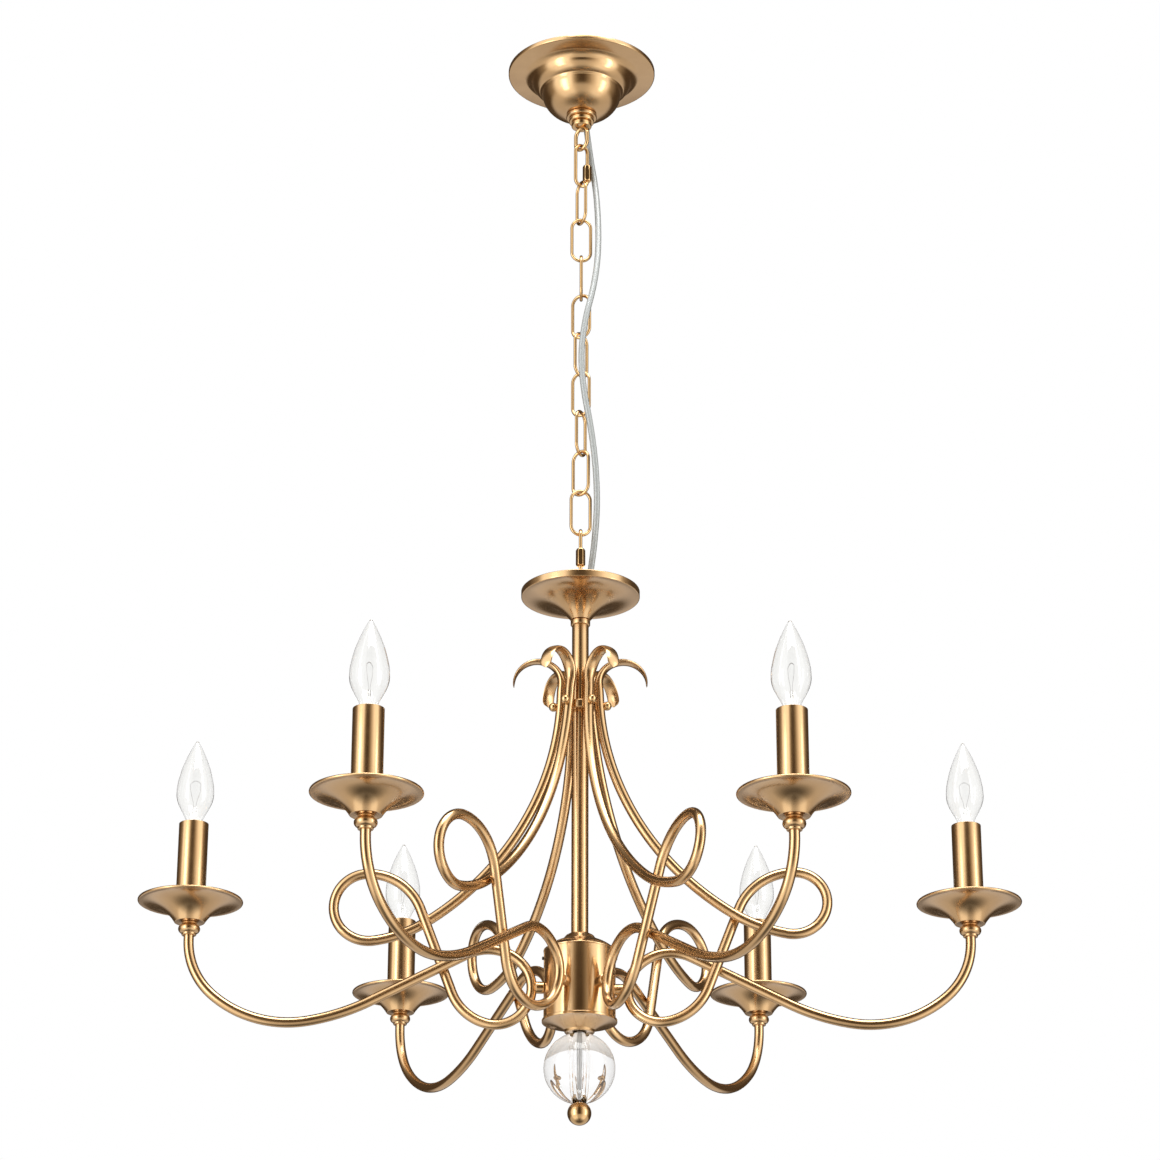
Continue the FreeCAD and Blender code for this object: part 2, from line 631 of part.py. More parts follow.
hub_face = mm("hub_radius")
tube_face = hub_screw["point"].x - mm("arm_tube_radius")
print("hub: tube face at", round(tube_face, 2), "height", round(hub_screw["point"].z, 2))
ferrules = []
for number, azimuth in enumerate(azimuths(), start=1):
    length = tube_face - hub_face + 1.6
    turn = Rotation(UP, azimuth)
    spot = turn.multVec(Vector(hub_face - 0.6, hub_screw["point"].y, 0))
    item = doc.addObject("Part::Cylinder", f"ferrule_{number}")
    item.setExpression("Radius", bound("ferrule_radius"))
    item.Height = round(length, 2)
    item.Placement = Placement(
        Vector(spot.x, spot.y, hub_screw["point"].z), turn * Rotation(Vector(0, 1, 0), 90)
    )
    bore = lying_cylinder(f"ferrule_bore_{number}", "2.2", "14", 0, 0, azimuth)
    bore.Placement = item.Placement
    ferrules.append(cut(f"ferrule_cut_{number}", item, bore))
group("arm_ferrules", ferrules)

keep("hub_shell", tube("hub_shell", "hub_radius", "hub_radius - hub_wall", "hub_bottom_z", "hub_top_z"))
hub_r, top_z, dome_z = mm("hub_radius"), mm("hub_top_z"), mm("hub_dome_z")
dome_neck, hole = mm("hub_dome_neck"), mm("stem_radius") + 0.05
dome_outline = [
    (hole, dome_z - 1.4),
    (hole, dome_z),
    (dome_neck, dome_z),
    (dome_neck + 3.8, dome_z - 2.2),
    (dome_neck + 7.3, dome_z - 6.6),
    ((hub_r * 0.78, dome_z - 10.6), (hub_r + 0.3, top_z + 1.2)),
    (hub_r + 0.3, top_z),
    (hub_r - 2.2, top_z),
    ((hub_r * 0.74, dome_z - 11.8), (dome_neck + 6.6, dome_z - 7.8)),
    (dome_neck + 3.2, dome_z - 3.4),
    (dome_neck - 0.4, dome_z - 1.4),
]
keep("hub_lid", feature("hub_lid", lathe(dome_outline)))
base_r, base_z = mm("hub_base_radius"), mm("hub_bottom_z")
foot_r2, foot_z2 = mm("hub_base_foot_radius"), mm("hub_base_foot_z")
base_outline = [
    (mm("rod_radius") + 0.05, base_z - 1.6),
    (mm("rod_radius") + 0.05, foot_z2),
    (foot_r2, foot_z2),
    (foot_r2 + 0.8, foot_z2 + 2.4),
    ((base_r * 0.72, base_z - 4.4), (base_r, base_z - mm("hub_base_lip"))),
    (base_r, base_z),
    (base_r - 4.0, base_z),
    (base_r - 5.0, base_z - 1.6),
]
keep("hub_base", feature("hub_base", lathe(base_outline)))
grubs = []
for side, azimuth in (("right", 0.0), ("left", 180.0)):
    grubs.append(lying_cylinder(f"grub_{side}", "1.6", "3.2", mm("hub_screw_z"), hub_face - 1.6, azimuth))
group("hub_screws", grubs)

rod_low = "finial_z - 4"
rod = cylinder("rod", "rod_radius", "0", rod_low)
rod.setExpression("Height", bound("shank_foot_z - ( finial_z - 4 )"))
keep("tie_rod", rod)

# ---------------------------------------------------------------- crystal ball and finial

crystal_bore = cylinder("crystal_bore_tool", "crystal_bore", "80", "crystal_z - 40")
keep("crystal_ball", cut("crystal_cut", ball("crystal", "crystal_radius", "crystal_z"), crystal_bore))
finial_bore = cylinder("finial_bore_tool", "rod_radius + 0.02", "30", "finial_z - 4")
keep("finial_ball", cut("finial_cut", ball("finial", "finial_radius", "finial_z"), finial_bore))

# ---------------------------------------------------------------- candles

pan_foot = (mm("pan_foot_radius"), mm("pan_rim_z") - mm("pan_depth"))
pan_rim = (mm("pan_radius") - mm("pan_bead") * 0.8, mm("pan_rim_z") - mm("pan_sheet") / 2)
pan = trumpet(pan_foot, pan_rim, mm("pan_foot_slope"), mm("pan_sheet"), mm("pan_bead"))
pan = pan.cut(Part.makeCylinder(5.05, 12, Vector(0, 0, pan_foot[1] - 4)))
seat_top, seat_mid = pan_foot[1], pan_foot[1] - mm("seat_height") * 0.46
seat_low = seat_top - mm("seat_height")
seat_outline = [
    (0.0, seat_top + 6.0),
    (5.0, seat_top + 6.0),
    (5.0, seat_top),
    (mm("seat_neck_radius"), seat_top),
    (mm("seat_neck_radius"), seat_top - 2.0),
    ((mm("seat_radius"), seat_mid), (mm("seat_neck_radius") - 0.4, seat_low + 2.0)),
    (mm("seat_neck_radius") - 0.4, seat_low),
    (mm("arm_tube_radius") + 0.02, seat_low),
    (mm("arm_tube_radius") + 0.02, mm("arm_start_z")),
    (0.0, mm("arm_start_z")),
]
seat = lathe(seat_outline)

holder_low = seat_top + 6.0
holder_top = mm("holder_top_z")
floor = holder_top - mm("holder_bore_depth")
holder_outline = [
    (0.0, holder_low),
    (6.5, holder_low),
    (6.5, holder_low + 40.0),
    (mm("holder_radius"), holder_low + 42.0),
    (mm("holder_radius"), holder_top),
    (mm("holder_bore"), holder_top),
    (mm("holder_bore"), floor),
    (0.0, floor),
]
holder = lathe(holder_outline)

# A C35 candle bulb: widest a third of the way up, drawn to a blunt tip.
wide, tip, shoulder = mm("bulb_radius"), mm("bulb_tip_z"), mm("bulb_shoulder_z")
base_low = shoulder - mm("bulb_base_length")
bulb_outline = [
    (0.0, base_low),
    (mm("bulb_base_radius") - 3.0, base_low),
    (mm("bulb_base_radius"), base_low + 4.0),
    (mm("bulb_base_radius"), shoulder),
    ((wide * 0.71, shoulder + 13.5), (wide, shoulder + 31.0)),
    ((wide * 0.80, shoulder + 53.0), (wide * 0.32, shoulder + 76.5)),
    ((wide * 0.20, shoulder + 80.5), (1.4, tip)),
    (0.0, tip),
]
bulb = lathe(bulb_outline)
print("bulb total length", round(tip - base_low, 1), "seat", round(seat_low, 1), round(seat_top, 1))

out = Vector(mm("lamp_circle"), 0, 0)
for number, azimuth in enumerate(azimuths(), start=1):
    turn = Rotation(UP, azimuth)
    spot = Placement(turn.multVec(out), turn)
    keep(f"drip_pan_{number}", feature(f"drip_pan_{number}", pan, spot))
    keep(f"bulb_{number}", feature(f"bulb_{number}", bulb, spot))
seats, holders, sleeves = [], [], []
sleeve_low = "pan_rim_z - pan_depth + pan_sheet + 0.6"
for number, azimuth in enumerate(azimuths(), start=1):
    turn = Rotation(UP, azimuth)
    spot = Placement(turn.multVec(out), turn)
    seats.append(feature(f"seat_{number}", seat, spot))
    holders.append(feature(f"holder_{number}", holder, spot))
    sleeve = tube(f"sleeve_{number}", "sleeve_radius", "sleeve_radius - sleeve_wall",
                  sleeve_low, "sleeve_top_z")
    sleeve.Placement = spot
    sleeves.append(sleeve)
group("pan_seats", seats)
group("lamp_holders", holders)
group("candle_sleeves", sleeves)

# ---------------------------------------------------------------- supply cord

# The cord leaves the neck behind the loop, drifts to the right of the chain, crosses in front of
# it, comes back to the right and goes down into the cap behind the ring.
CORD_ROUTE = [
    (5.3, 4.9, -65.2),
    (8.8, 9.8, -94.0),
    (14.2, 7.8, -128.0),
    (17.0, 1.6, -168.0),
    (17.2, -4.6, -210.0),
    (13.0, -11.5, -250.0),
    (4.0, -18.0, -290.0),
    (-0.5, -19.0, -330.0),
    (2.8, -18.4, -370.0),
    (9.8, -14.2, -406.0),
    (14.8, -8.6, -446.0),
    (16.2, -1.0, -486.0),
    (13.4, 6.4, -522.0),
    (9.6, 10.2, -550.0),
    (7.4, 8.6, -575.0),
    (6.2, 6.4, -598.0),
]


def cord_edges(route):
    """Straight runs joined by tangent arcs, each as large as its two runs allow."""
    points = [Vector(*p) for p in route]
    result, radii = [], []
    start = points[0]
    for before, corner, after in zip(points, points[1:], points[2:]):
        into, away = (corner - before), (after - corner)
        turn = into.getAngle(away)
        reach = 0.45 * min(into.Length, away.Length)
        radii.append(reach / math.tan(turn / 2))
        a = corner - into.normalize() * reach
        b = corner + away.normalize() * reach
        inward = ((a - corner) + (b - corner)).normalize()
        centre = corner + inward * (radii[-1] / math.cos(turn / 2))
        through = centre - inward * radii[-1]
        result.append(Part.LineSegment(start, a).toShape())
        result.append(Part.Arc(a, through, b).toShape())
        start = b
    result.append(Part.LineSegment(start, points[-1]).toShape())
    return result, radii


cord_path, cord_radii = cord_edges(CORD_ROUTE)
cord = swept(cord_path, mm("cord_radius"))
cord_length = sum(edge.Length for edge in cord_path)
cord_volume = math.pi * mm("cord_radius") ** 2 * cord_length
print("cord: length", round(cord_length, 1), "radii", [round(r) for r in cord_radii],
      "swept / expected volume", round(cord.Volume / cord_volume, 4))
keep("supply_cord", feature("supply_cord", cord))

# ---------------------------------------------------------------- check and write

doc.recompute()
for item in doc.Objects:
    if {"Invalid", "Error"} & set(item.State):
        raise RuntimeError(f"{item.Name} failed: {item.State}")
os.makedirs("parts", exist_ok=True)
for name, item in nodes.items():
    if item.Shape.isNull() or not item.Shape.isValid():
        raise RuntimeError(f"{name} has no valid shape")
    item.Shape.exportStep(os.path.join("parts", name + ".step"))
print(len(nodes), "nodes")
for label, height in (("hook", hook_inner_bottom), ("upper", z_upper), ("lower", z_lower), ("ring", ring_z)):
    print(label, round(height, 3))
print("link bottoms", [round(b, 2) for b in link_bottoms])
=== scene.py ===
# %% [markdown]
# # A brass chandelier with six scrolled arms
# The fitting hangs from the ceiling at the origin, with +Z up, so every height is negative. The
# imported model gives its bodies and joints. Each cell makes one piece or one finish of the real
# thing and says why it was made that way. Shapes are worked out in millimetres and turned to
# metres when they become a mesh.

# %% The frame
import json
import math

import bpy
import numpy as np
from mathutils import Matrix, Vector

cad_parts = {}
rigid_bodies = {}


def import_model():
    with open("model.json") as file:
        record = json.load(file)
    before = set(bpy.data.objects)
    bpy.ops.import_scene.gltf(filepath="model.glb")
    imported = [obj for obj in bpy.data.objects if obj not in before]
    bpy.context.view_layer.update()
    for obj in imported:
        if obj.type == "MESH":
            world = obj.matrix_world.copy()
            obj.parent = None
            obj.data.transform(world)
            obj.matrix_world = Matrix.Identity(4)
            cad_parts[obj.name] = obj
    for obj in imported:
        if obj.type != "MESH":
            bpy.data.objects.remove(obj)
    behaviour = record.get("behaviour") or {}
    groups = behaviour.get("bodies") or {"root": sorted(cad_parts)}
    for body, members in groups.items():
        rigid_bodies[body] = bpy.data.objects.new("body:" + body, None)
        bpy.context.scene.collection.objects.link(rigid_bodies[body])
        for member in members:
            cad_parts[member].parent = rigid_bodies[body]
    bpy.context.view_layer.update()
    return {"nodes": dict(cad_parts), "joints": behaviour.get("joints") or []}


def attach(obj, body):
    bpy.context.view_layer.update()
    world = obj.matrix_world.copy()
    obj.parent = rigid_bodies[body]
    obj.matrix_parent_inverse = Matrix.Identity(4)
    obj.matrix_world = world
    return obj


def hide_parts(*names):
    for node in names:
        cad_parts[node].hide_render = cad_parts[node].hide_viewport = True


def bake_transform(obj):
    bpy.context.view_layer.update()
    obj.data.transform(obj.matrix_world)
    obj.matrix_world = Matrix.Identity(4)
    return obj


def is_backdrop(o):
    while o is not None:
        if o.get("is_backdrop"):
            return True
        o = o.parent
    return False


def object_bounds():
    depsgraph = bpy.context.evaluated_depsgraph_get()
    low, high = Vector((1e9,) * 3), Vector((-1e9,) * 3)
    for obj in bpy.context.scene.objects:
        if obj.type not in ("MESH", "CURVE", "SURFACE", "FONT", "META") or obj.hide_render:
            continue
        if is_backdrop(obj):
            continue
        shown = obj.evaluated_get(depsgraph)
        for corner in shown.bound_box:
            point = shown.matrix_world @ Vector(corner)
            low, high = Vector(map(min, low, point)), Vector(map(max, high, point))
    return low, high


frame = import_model()

# %% [markdown]
# ## The camera
# The eye stands 3.1 m in front and lower than the lamp, and looks up at it, as a person below a
# ceiling light does. A long lens keeps the six lamps nearly the same size.

# %% Camera
PITCH = math.radians(22.31)
ROLL = 0.0023
lens = bpy.data.cameras.new("camera")
lens.lens = 109.4
lens.sensor_width = 36.0
camera = bpy.data.objects.new("camera", lens)
bpy.context.scene.collection.objects.link(camera)
camera.location = (-0.0005, -3.1455, -1.85285)
camera.rotation_euler = (math.pi / 2 + PITCH, 0.0, 0.0)
camera.rotation_euler.rotate_axis("Z", ROLL)
bpy.context.scene.camera = camera
print("camera: lens", lens.lens, "mm, looking up", round(math.degrees(PITCH), 1), "degrees")

# %% [markdown]
# ## Meshes from number grids
# Almost every piece of a lamp like this is spun on a lathe or bent from tube. Both are grids: a
# row of points carried round an axis or along a path. So three small functions make them all: one
# joins grids into a mesh, one turns a profile, and one carries a section along a path.

# %% Grids to meshes
LAMPS = [math.radians(60.0 * i) for i in range(6)]
LAMP_CIRCLE = 362.0


def grid(points, wrap_rows=False, caps=True):
    """A grid of points (rows, columns, 3) whose columns close on themselves.
    Rows close too if wrap_rows; otherwise caps adds a fan to the middle of each end row."""
    rows, cols = points.shape[:2]
    row = np.arange(rows if wrap_rows else rows - 1)[:, None] + np.zeros((1, cols), int)
    col = np.zeros((row.shape[0], 1), int) + np.arange(cols)[None, :]
    nxt_row, nxt_col = (row + 1) % rows, (col + 1) % cols
    quads = np.stack(
        [row * cols + col, row * cols + nxt_col, nxt_row * cols + nxt_col, nxt_row * cols + col], -1
    ).reshape(-1, 4)
    verts = points.reshape(-1, 3)
    tris = np.zeros((0, 3), int)
    if caps and not wrap_rows:
        ring = np.arange(cols)
        first = np.stack([np.roll(ring, -1), ring, np.full(cols, len(verts))], -1)
        last = np.stack([ring, np.roll(ring, -1), np.full(cols, len(verts) + 1)], -1)
        last[:, :2] += (rows - 1) * cols
        verts = np.vstack([verts, points[0].mean(0), points[-1].mean(0)])
        tris = np.vstack([first, last])
    return outward(verts, quads, tris)


def outward(verts, quads, tris):
    """Turns every face over if the signed volume is negative: the sum of a . (b x c) over triangles."""
    corners = np.vstack([quads[:, :3], quads[:, [0, 2, 3]], tris])
    a, b, c = verts[corners[:, 0]], verts[corners[:, 1]], verts[corners[:, 2]]
    if np.einsum("ij,ij->i", a, np.cross(b, c)).sum() < 0:
        return verts, quads[:, ::-1], tris[:, ::-1]
    return verts, quads, tris


def piece(name, parts, finish, body, nodes=(), sharp=38.0):
    """One object from several closed grids, in millimetres, riding on a body."""
    verts, loops, sizes, base = [], [], [], 0
    for v, quads, tris in parts:
        verts.append(v)
        loops.extend([(quads + base).ravel(), (tris + base).ravel()])
        sizes.extend([np.full(len(quads), 4), np.full(len(tris), 3)])
        base += len(v)
    verts, loops, sizes = np.vstack(verts) * 0.001, np.concatenate(loops), np.concatenate(sizes)
    mesh = bpy.data.meshes.new(name)
    mesh.vertices.add(len(verts))
    mesh.vertices.foreach_set("co", verts.ravel())
    mesh.loops.add(len(loops))
    mesh.loops.foreach_set("vertex_index", loops.astype(np.int32))
    mesh.polygons.add(len(sizes))
    starts = np.concatenate([[0], np.cumsum(sizes)[:-1]])
    mesh.polygons.foreach_set("loop_start", starts.astype(np.int32))
    mesh.polygons.foreach_set("loop_total", sizes.astype(np.int32))
    mesh.polygons.foreach_set("use_smooth", np.ones(len(sizes), bool))
    mesh.update(calc_edges=True)
    mesh.set_sharp_from_angle(angle=math.radians(sharp))
    mesh.materials.append(finish)
    obj = bpy.data.objects.new(name, mesh)
    bpy.context.scene.collection.objects.link(obj)
    if body:
        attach(obj, body)
    if nodes:
        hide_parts(*nodes)
    low, high = verts.min(0) * 1000, verts.max(0) * 1000
    print(f"{name}: {len(sizes)} faces, heights {low[2]:.1f} to {high[2]:.1f} mm")
    return obj


# %% Profiles and paths
def rounded(points, radius, closed=True):
    """Rounds each corner of an outline with a quadratic curve that starts and ends at radius from
    the corner, or at 0.4 of a shorter side."""
    p = np.array(points, float)
    before, after = np.roll(p, 1, 0) - p, np.roll(p, -1, 0) - p
    reach = np.minimum(np.linalg.norm(before, axis=1), np.linalg.norm(after, axis=1)) * 0.4
    reach = np.minimum(reach, radius)[:, None]
    a = p + before / np.linalg.norm(before, axis=1)[:, None] * reach
    b = p + after / np.linalg.norm(after, axis=1)[:, None] * reach
    if not closed:
        a[0] = b[0] = p[0]
        a[-1] = b[-1] = p[-1]
    t = np.linspace(0, 1, 4)[None, :, None]
    curve = (1 - t) ** 2 * a[:, None] + 2 * t * (1 - t) * p[:, None] + t**2 * b[:, None]
    curve = curve.reshape(-1, p.shape[1])
    keep = np.linalg.norm(curve - np.roll(curve, 1, 0), axis=1) > 1e-4
    return curve[keep]


def arc(a, through, b, steps=14):
    """Points on the circle through three (radius, height) points, from a to b: the centre is where
    the perpendicular bisectors meet, and the angle runs from a to b by way of the middle point."""
    a, m, b = np.array(a, float), np.array(through, float), np.array(b, float)
    lhs = 2 * np.array([m - a, b - a])
    centre = np.linalg.solve(lhs, [m @ m - a @ a, b @ b - a @ a])
    start, mid, end = [math.atan2(*(q - centre)[::-1]) for q in (a, m, b)]
    mid = (mid - start) % math.tau
    end = (end - start) % math.tau
    span = end if mid < end else end - math.tau
    angle = start + np.linspace(0, span, steps)
    return (centre + np.linalg.norm(a - centre) * np.stack([np.cos(angle), np.sin(angle)], -1)).tolist()


def lathe(profile, sides=96, hollow=True, centre=(0.0, 0.0)):
    """Turns (radius, height) points about an upright axis: x = r cos t, y = r sin t.
    A hollow profile is a closed outline; a solid one runs from pole to pole."""
    p = np.array(profile, float)
    if not hollow:
        ends = p[0].copy(), p[-1].copy()
        p = p[1:-1]
    t = np.linspace(0, math.tau, sides, endpoint=False)
    x = centre[0] + p[:, :1] * np.cos(t)
    y = centre[1] + p[:, :1] * np.sin(t)
    z = np.repeat(p[:, 1:], sides, 1)
    verts, quads, tris = grid(np.stack([x, y, z], -1), wrap_rows=hollow)
    if not hollow:
        verts = verts.copy()
        verts[-2:, 2] = ends[0][1], ends[1][1]
    return verts, quads, tris


def frames(path, closed=False, up=None):
    """The heading at each point of a path and two directions square to it that turn as little as
    possible: each is the one before it, with its part along the new heading taken away."""
    heading = np.roll(path, -1, 0) - np.roll(path, 1, 0)
    if not closed:
        heading[0], heading[-1] = path[1] - path[0], path[-1] - path[-2]
    heading /= np.linalg.norm(heading, axis=1)[:, None]
    side = np.zeros_like(path)
    now = np.cross(heading[0], up if up is not None else (0.31, 0.87, 0.39))
    for i, h in enumerate(heading):
        now = now - h * (now @ h)
        now /= np.linalg.norm(now)
        side[i] = now
    return heading, side, np.cross(heading, side)


def bar(path, radius, sides=20, closed=False, up=None):
    """A round bar: at each point of the path, a circle of that radius square to the path."""
    path = np.array(path, float)
    _, side, other = frames(path, closed, up)
    t = np.linspace(0, math.tau, sides, endpoint=False)[None, :, None]
    radius = np.broadcast_to(np.array(radius, float).reshape(-1, 1, 1), (len(path), 1, 1))
    rings = path[:, None] + radius * (np.cos(t) * side[:, None] + np.sin(t) * other[:, None])
    return grid(rings, wrap_rows=closed)


def turned(part, angle, shift=(0.0, 0.0, 0.0)):
    """The same part, turned about Z and then moved."""
    verts, quads, tris = part
    c, s = math.cos(angle), math.sin(angle)
    spin = np.array([[c, s, 0.0], [-s, c, 0.0], [0.0, 0.0, 1.0]])
    return verts @ spin + np.array(shift), quads, tris


def around(part, radius=0.0):
    """Six copies of a part, one for each arm, moved out to a radius and turned."""
    return [turned((part[0] + (radius, 0, 0), part[1], part[2]), a) for a in LAMPS]


# %% [markdown]
# ## The finishes
# The metal is brass, satin-finished and lacquered to look slightly aged. Satin brass shows soft
# vertical bands on round parts, a fine grain, and faint warmer clouds where the lacquer is thicker.
# Chain, rings and the small ball are the same brass, polished. Colours are given in sRGB hex.

# %% Colour and node helpers
def linear(hex_colour, alpha=1.0):
    """sRGB hex to linear light: c/12.92 below 0.04045, otherwise ((c + 0.055) / 1.055) ** 2.4."""
    c = np.array([int(hex_colour[i : i + 2], 16) for i in (1, 3, 5)]) / 255.0
    value = np.where(c <= 0.04045, c / 12.92, ((c + 0.055) / 1.055) ** 2.4)
    return (*value.tolist(), alpha)


def material(name):
    """A new material and its shader."""
    made = bpy.data.materials.new(name)
    made.use_nodes = True
    return made, made.node_tree.nodes["Principled BSDF"]


def add(tree, kind, settings=None, inputs=None, **links):
    """Adds a node, sets its properties and inputs, and links inputs to other nodes' outputs."""
    node = tree.nodes.new(kind)
    for key, value in (settings or {}).items():
        setattr(node, key, value)
    for key, value in (inputs or {}).items():
        node.inputs[key].default_value = value
    for key, output in links.items():
        tree.links.new(output, node.inputs[key.replace("_", " ")])
    return node


def brass(name, base, thin, roughness, grain, cloud=0.5):
    """Lacquered brass: two close tones mixed by soft clouds 30 mm wide, roughness that follows the
    clouds, a fine faint bump for the brushed grain, and a clear coat for the lacquer."""
    made, shader = material(name)
    tree = made.node_tree
    place = add(tree, "ShaderNodeTexCoord")
    clouds = add(tree, "ShaderNodeTexNoise", inputs={"Scale": 33.0, "Detail": 4.0, "Roughness": 0.55},
                 Vector=place.outputs["Object"])
    stretch = add(tree, "ShaderNodeMapping", inputs={"Scale": (1600.0, 1600.0, 90.0)},
                  Vector=place.outputs["Object"])
    lines = add(tree, "ShaderNodeTexNoise", inputs={"Scale": 1.0, "Detail": 2.0},
                Vector=stretch.outputs["Vector"])
    mix = add(tree, "ShaderNodeMix", {"data_type": "RGBA"})
    mix.inputs[6].default_value = linear(base)
    mix.inputs[7].default_value = linear(thin)
    amount = add(tree, "ShaderNodeMapRange", inputs={1: 0.35, 2: 0.65, 3: 0.0, 4: cloud},
                 Value=clouds.outputs["Fac"])
    tree.links.new(amount.outputs[0], mix.inputs[0])
    tree.links.new(mix.outputs[2], shader.inputs["Base Color"])
    spread = {1: 0.3, 2: 0.7, 3: roughness - 0.03, 4: roughness + 0.05}
    rough = add(tree, "ShaderNodeMapRange", inputs=spread, Value=clouds.outputs["Fac"])
    tree.links.new(rough.outputs[0], shader.inputs["Roughness"])
    bump = add(tree, "ShaderNodeBump", inputs={"Strength": grain, "Distance": 0.0001},
               Height=lines.outputs["Fac"])
    tree.links.new(bump.outputs["Normal"], shader.inputs["Normal"])
    shader.inputs["Metallic"].default_value = 1.0
    shader.inputs["Coat Weight"].default_value = 0.9
    shader.inputs["Coat Roughness"].default_value = roughness * 0.6
    return made


# %% Brass
satin_brass = brass("satin_lacquered_brass", "#CDA877", "#C09A69", 0.21, 0.012)
polished_brass = brass("polished_brass", "#D1AC76", "#C49D67", 0.14, 0.008)
print("brass:", satin_brass.name, polished_brass.name)


# %% Glass, cord and small parts
def plain(name, colour, roughness, metallic=0.0, speckle=0.08, scale=900.0):
    """A moulded or plated finish: one colour with a faint mottling of its surface."""
    made, shader = material(name)
    tree = made.node_tree
    place = add(tree, "ShaderNodeTexCoord")
    spots = add(tree, "ShaderNodeTexNoise", inputs={"Scale": scale, "Detail": 2.0},
                Vector=place.outputs["Object"])
    bump = add(tree, "ShaderNodeBump", inputs={"Strength": speckle, "Distance": 0.0001},
               Height=spots.outputs["Fac"])
    tree.links.new(bump.outputs["Normal"], shader.inputs["Normal"])
    shader.inputs["Base Color"].default_value = linear(colour)
    shader.inputs["Roughness"].default_value = roughness
    shader.inputs["Metallic"].default_value = metallic
    return made


def clear(name, colour, roughness, ior):
    """Glass: nearly all light goes through, bent by the index of refraction."""
    made = plain(name, colour, roughness, speckle=0.0)
    shader = made.node_tree.nodes["Principled BSDF"]
    shader.inputs["Transmission Weight"].default_value = 1.0
    shader.inputs["IOR"].default_value = ior
    return made


bulb_glass = clear("blown_bulb_glass", "#FBFBFA", 0.02, 1.45)
crystal_glass = clear("cut_crystal", "#FDFDFD", 0.0, 1.54)
zinc_steel = plain("zinc_plated_steel", "#B9B8B6", 0.35, 1.0)
dark_steel = plain("blackened_grub_screw", "#4A4642", 0.45, 1.0)
nickel = plain("nickel_lamp_cap", "#C8C4BC", 0.28, 1.0)
ceramic = plain("white_lamp_holder", "#E9E5DC", 0.4)
tungsten = plain("tungsten_wire", "#8E8A86", 0.4, 1.0)
cord_sheath = plain("clear_pvc_cord", "#9FA4A4", 0.16)
cord_sheath.node_tree.nodes["Principled BSDF"].inputs["Coat Weight"].default_value = 0.8

# %% [markdown]
# ## The supply cord
# A clear plastic cord with a silver braid leaves the neck under the canopy and hangs beside the
# chain. It is a few centimetres longer than the chain, so it wanders: to the right, across the
# front, and back. Its line is a smooth spline through given points. In the real lamp it swings
# with the chain, so the tube is cut into spans, one for each chain joint.

# %% Cord route
CORD_ROUTE = [
    (5.3, 4.9, -65.2), (9.0, 10.9, -94.0), (14.4, 8.8, -128.0), (17.0, 1.6, -168.0),
    (17.2, -4.6, -210.0), (13.0, -11.5, -250.0), (4.0, -18.0, -290.0), (-0.5, -19.0, -330.0),
    (2.8, -18.4, -370.0), (9.8, -14.2, -406.0), (14.8, -8.6, -446.0), (16.2, -1.0, -486.0),
    (13.4, 6.4, -522.0), (9.6, 10.2, -550.0), (7.4, 8.6, -575.0), (6.2, 6.4, -598.0),
]
route = bpy.data.curves.new("cord_route", "CURVE")
route.dimensions = "3D"
line = route.splines.new("NURBS")
line.points.add(len(CORD_ROUTE) - 1)
line.points.foreach_set("co", np.c_[np.array(CORD_ROUTE) * 0.001, np.ones(len(CORD_ROUTE))].ravel())
line.order_u = 3
line.use_endpoint_u = True
line.resolution_u = 24
guide = bpy.data.objects.new("cord_route", route)
bpy.context.scene.collection.objects.link(guide)
bpy.context.view_layer.update()
sampled = bpy.data.meshes.new_from_object(guide.evaluated_get(bpy.context.evaluated_depsgraph_get()))
cord_line = np.array([v.co for v in sampled.vertices]) * 1000.0
bpy.data.objects.remove(guide)
cord_length = np.linalg.norm(np.diff(cord_line, axis=0), axis=1).sum()
print("cord:", len(cord_line), "points,", round(cord_length), "mm long")

# %% [markdown]
# The spans meet in the middle of each link.

# %% Cord spans
CHAIN = ["ceiling_group", "upper_link"] + [f"link_{i}" for i in range(1, 10)]
CHAIN += ["lower_link", "chandelier"]
CORD_TOP, CORD_FOOT = -65.2, -598.0
joint_at = {(j["parent"], j["child"]): j["pos_m"][2] * 1000 for j in frame["joints"] if "pos_m" in j}
swing_z = [joint_at[pair] for pair in zip(CHAIN, CHAIN[1:])]
cuts = [CORD_TOP] + [(a + b) / 2 for a, b in zip(swing_z, swing_z[1:])] + [CORD_FOOT]
cord_rings = bar(cord_line, 3.0, sides=16)[0][:-2].reshape(len(cord_line), 16, 3)
marks = [int(np.argmin(np.abs(cord_line[:, 2] - z))) for z in cuts]
for index, (above, below) in enumerate(zip(CHAIN, CHAIN[1:])):
    first, last = marks[index], marks[index + 1]
    span = piece(f"cord_span_{index + 1}", [grid(cord_rings[first : last + 1])], cord_sheath, None,
                 ("supply_cord",))
    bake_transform(span)

# %% [markdown]
# ## Canopy and its fittings
# The canopy is spun from sheet: a wide flange, an upper bowl, a small step and a lower bowl. Two
# turned rings lock it to the threaded nipple, and the loop below them carries the chain.

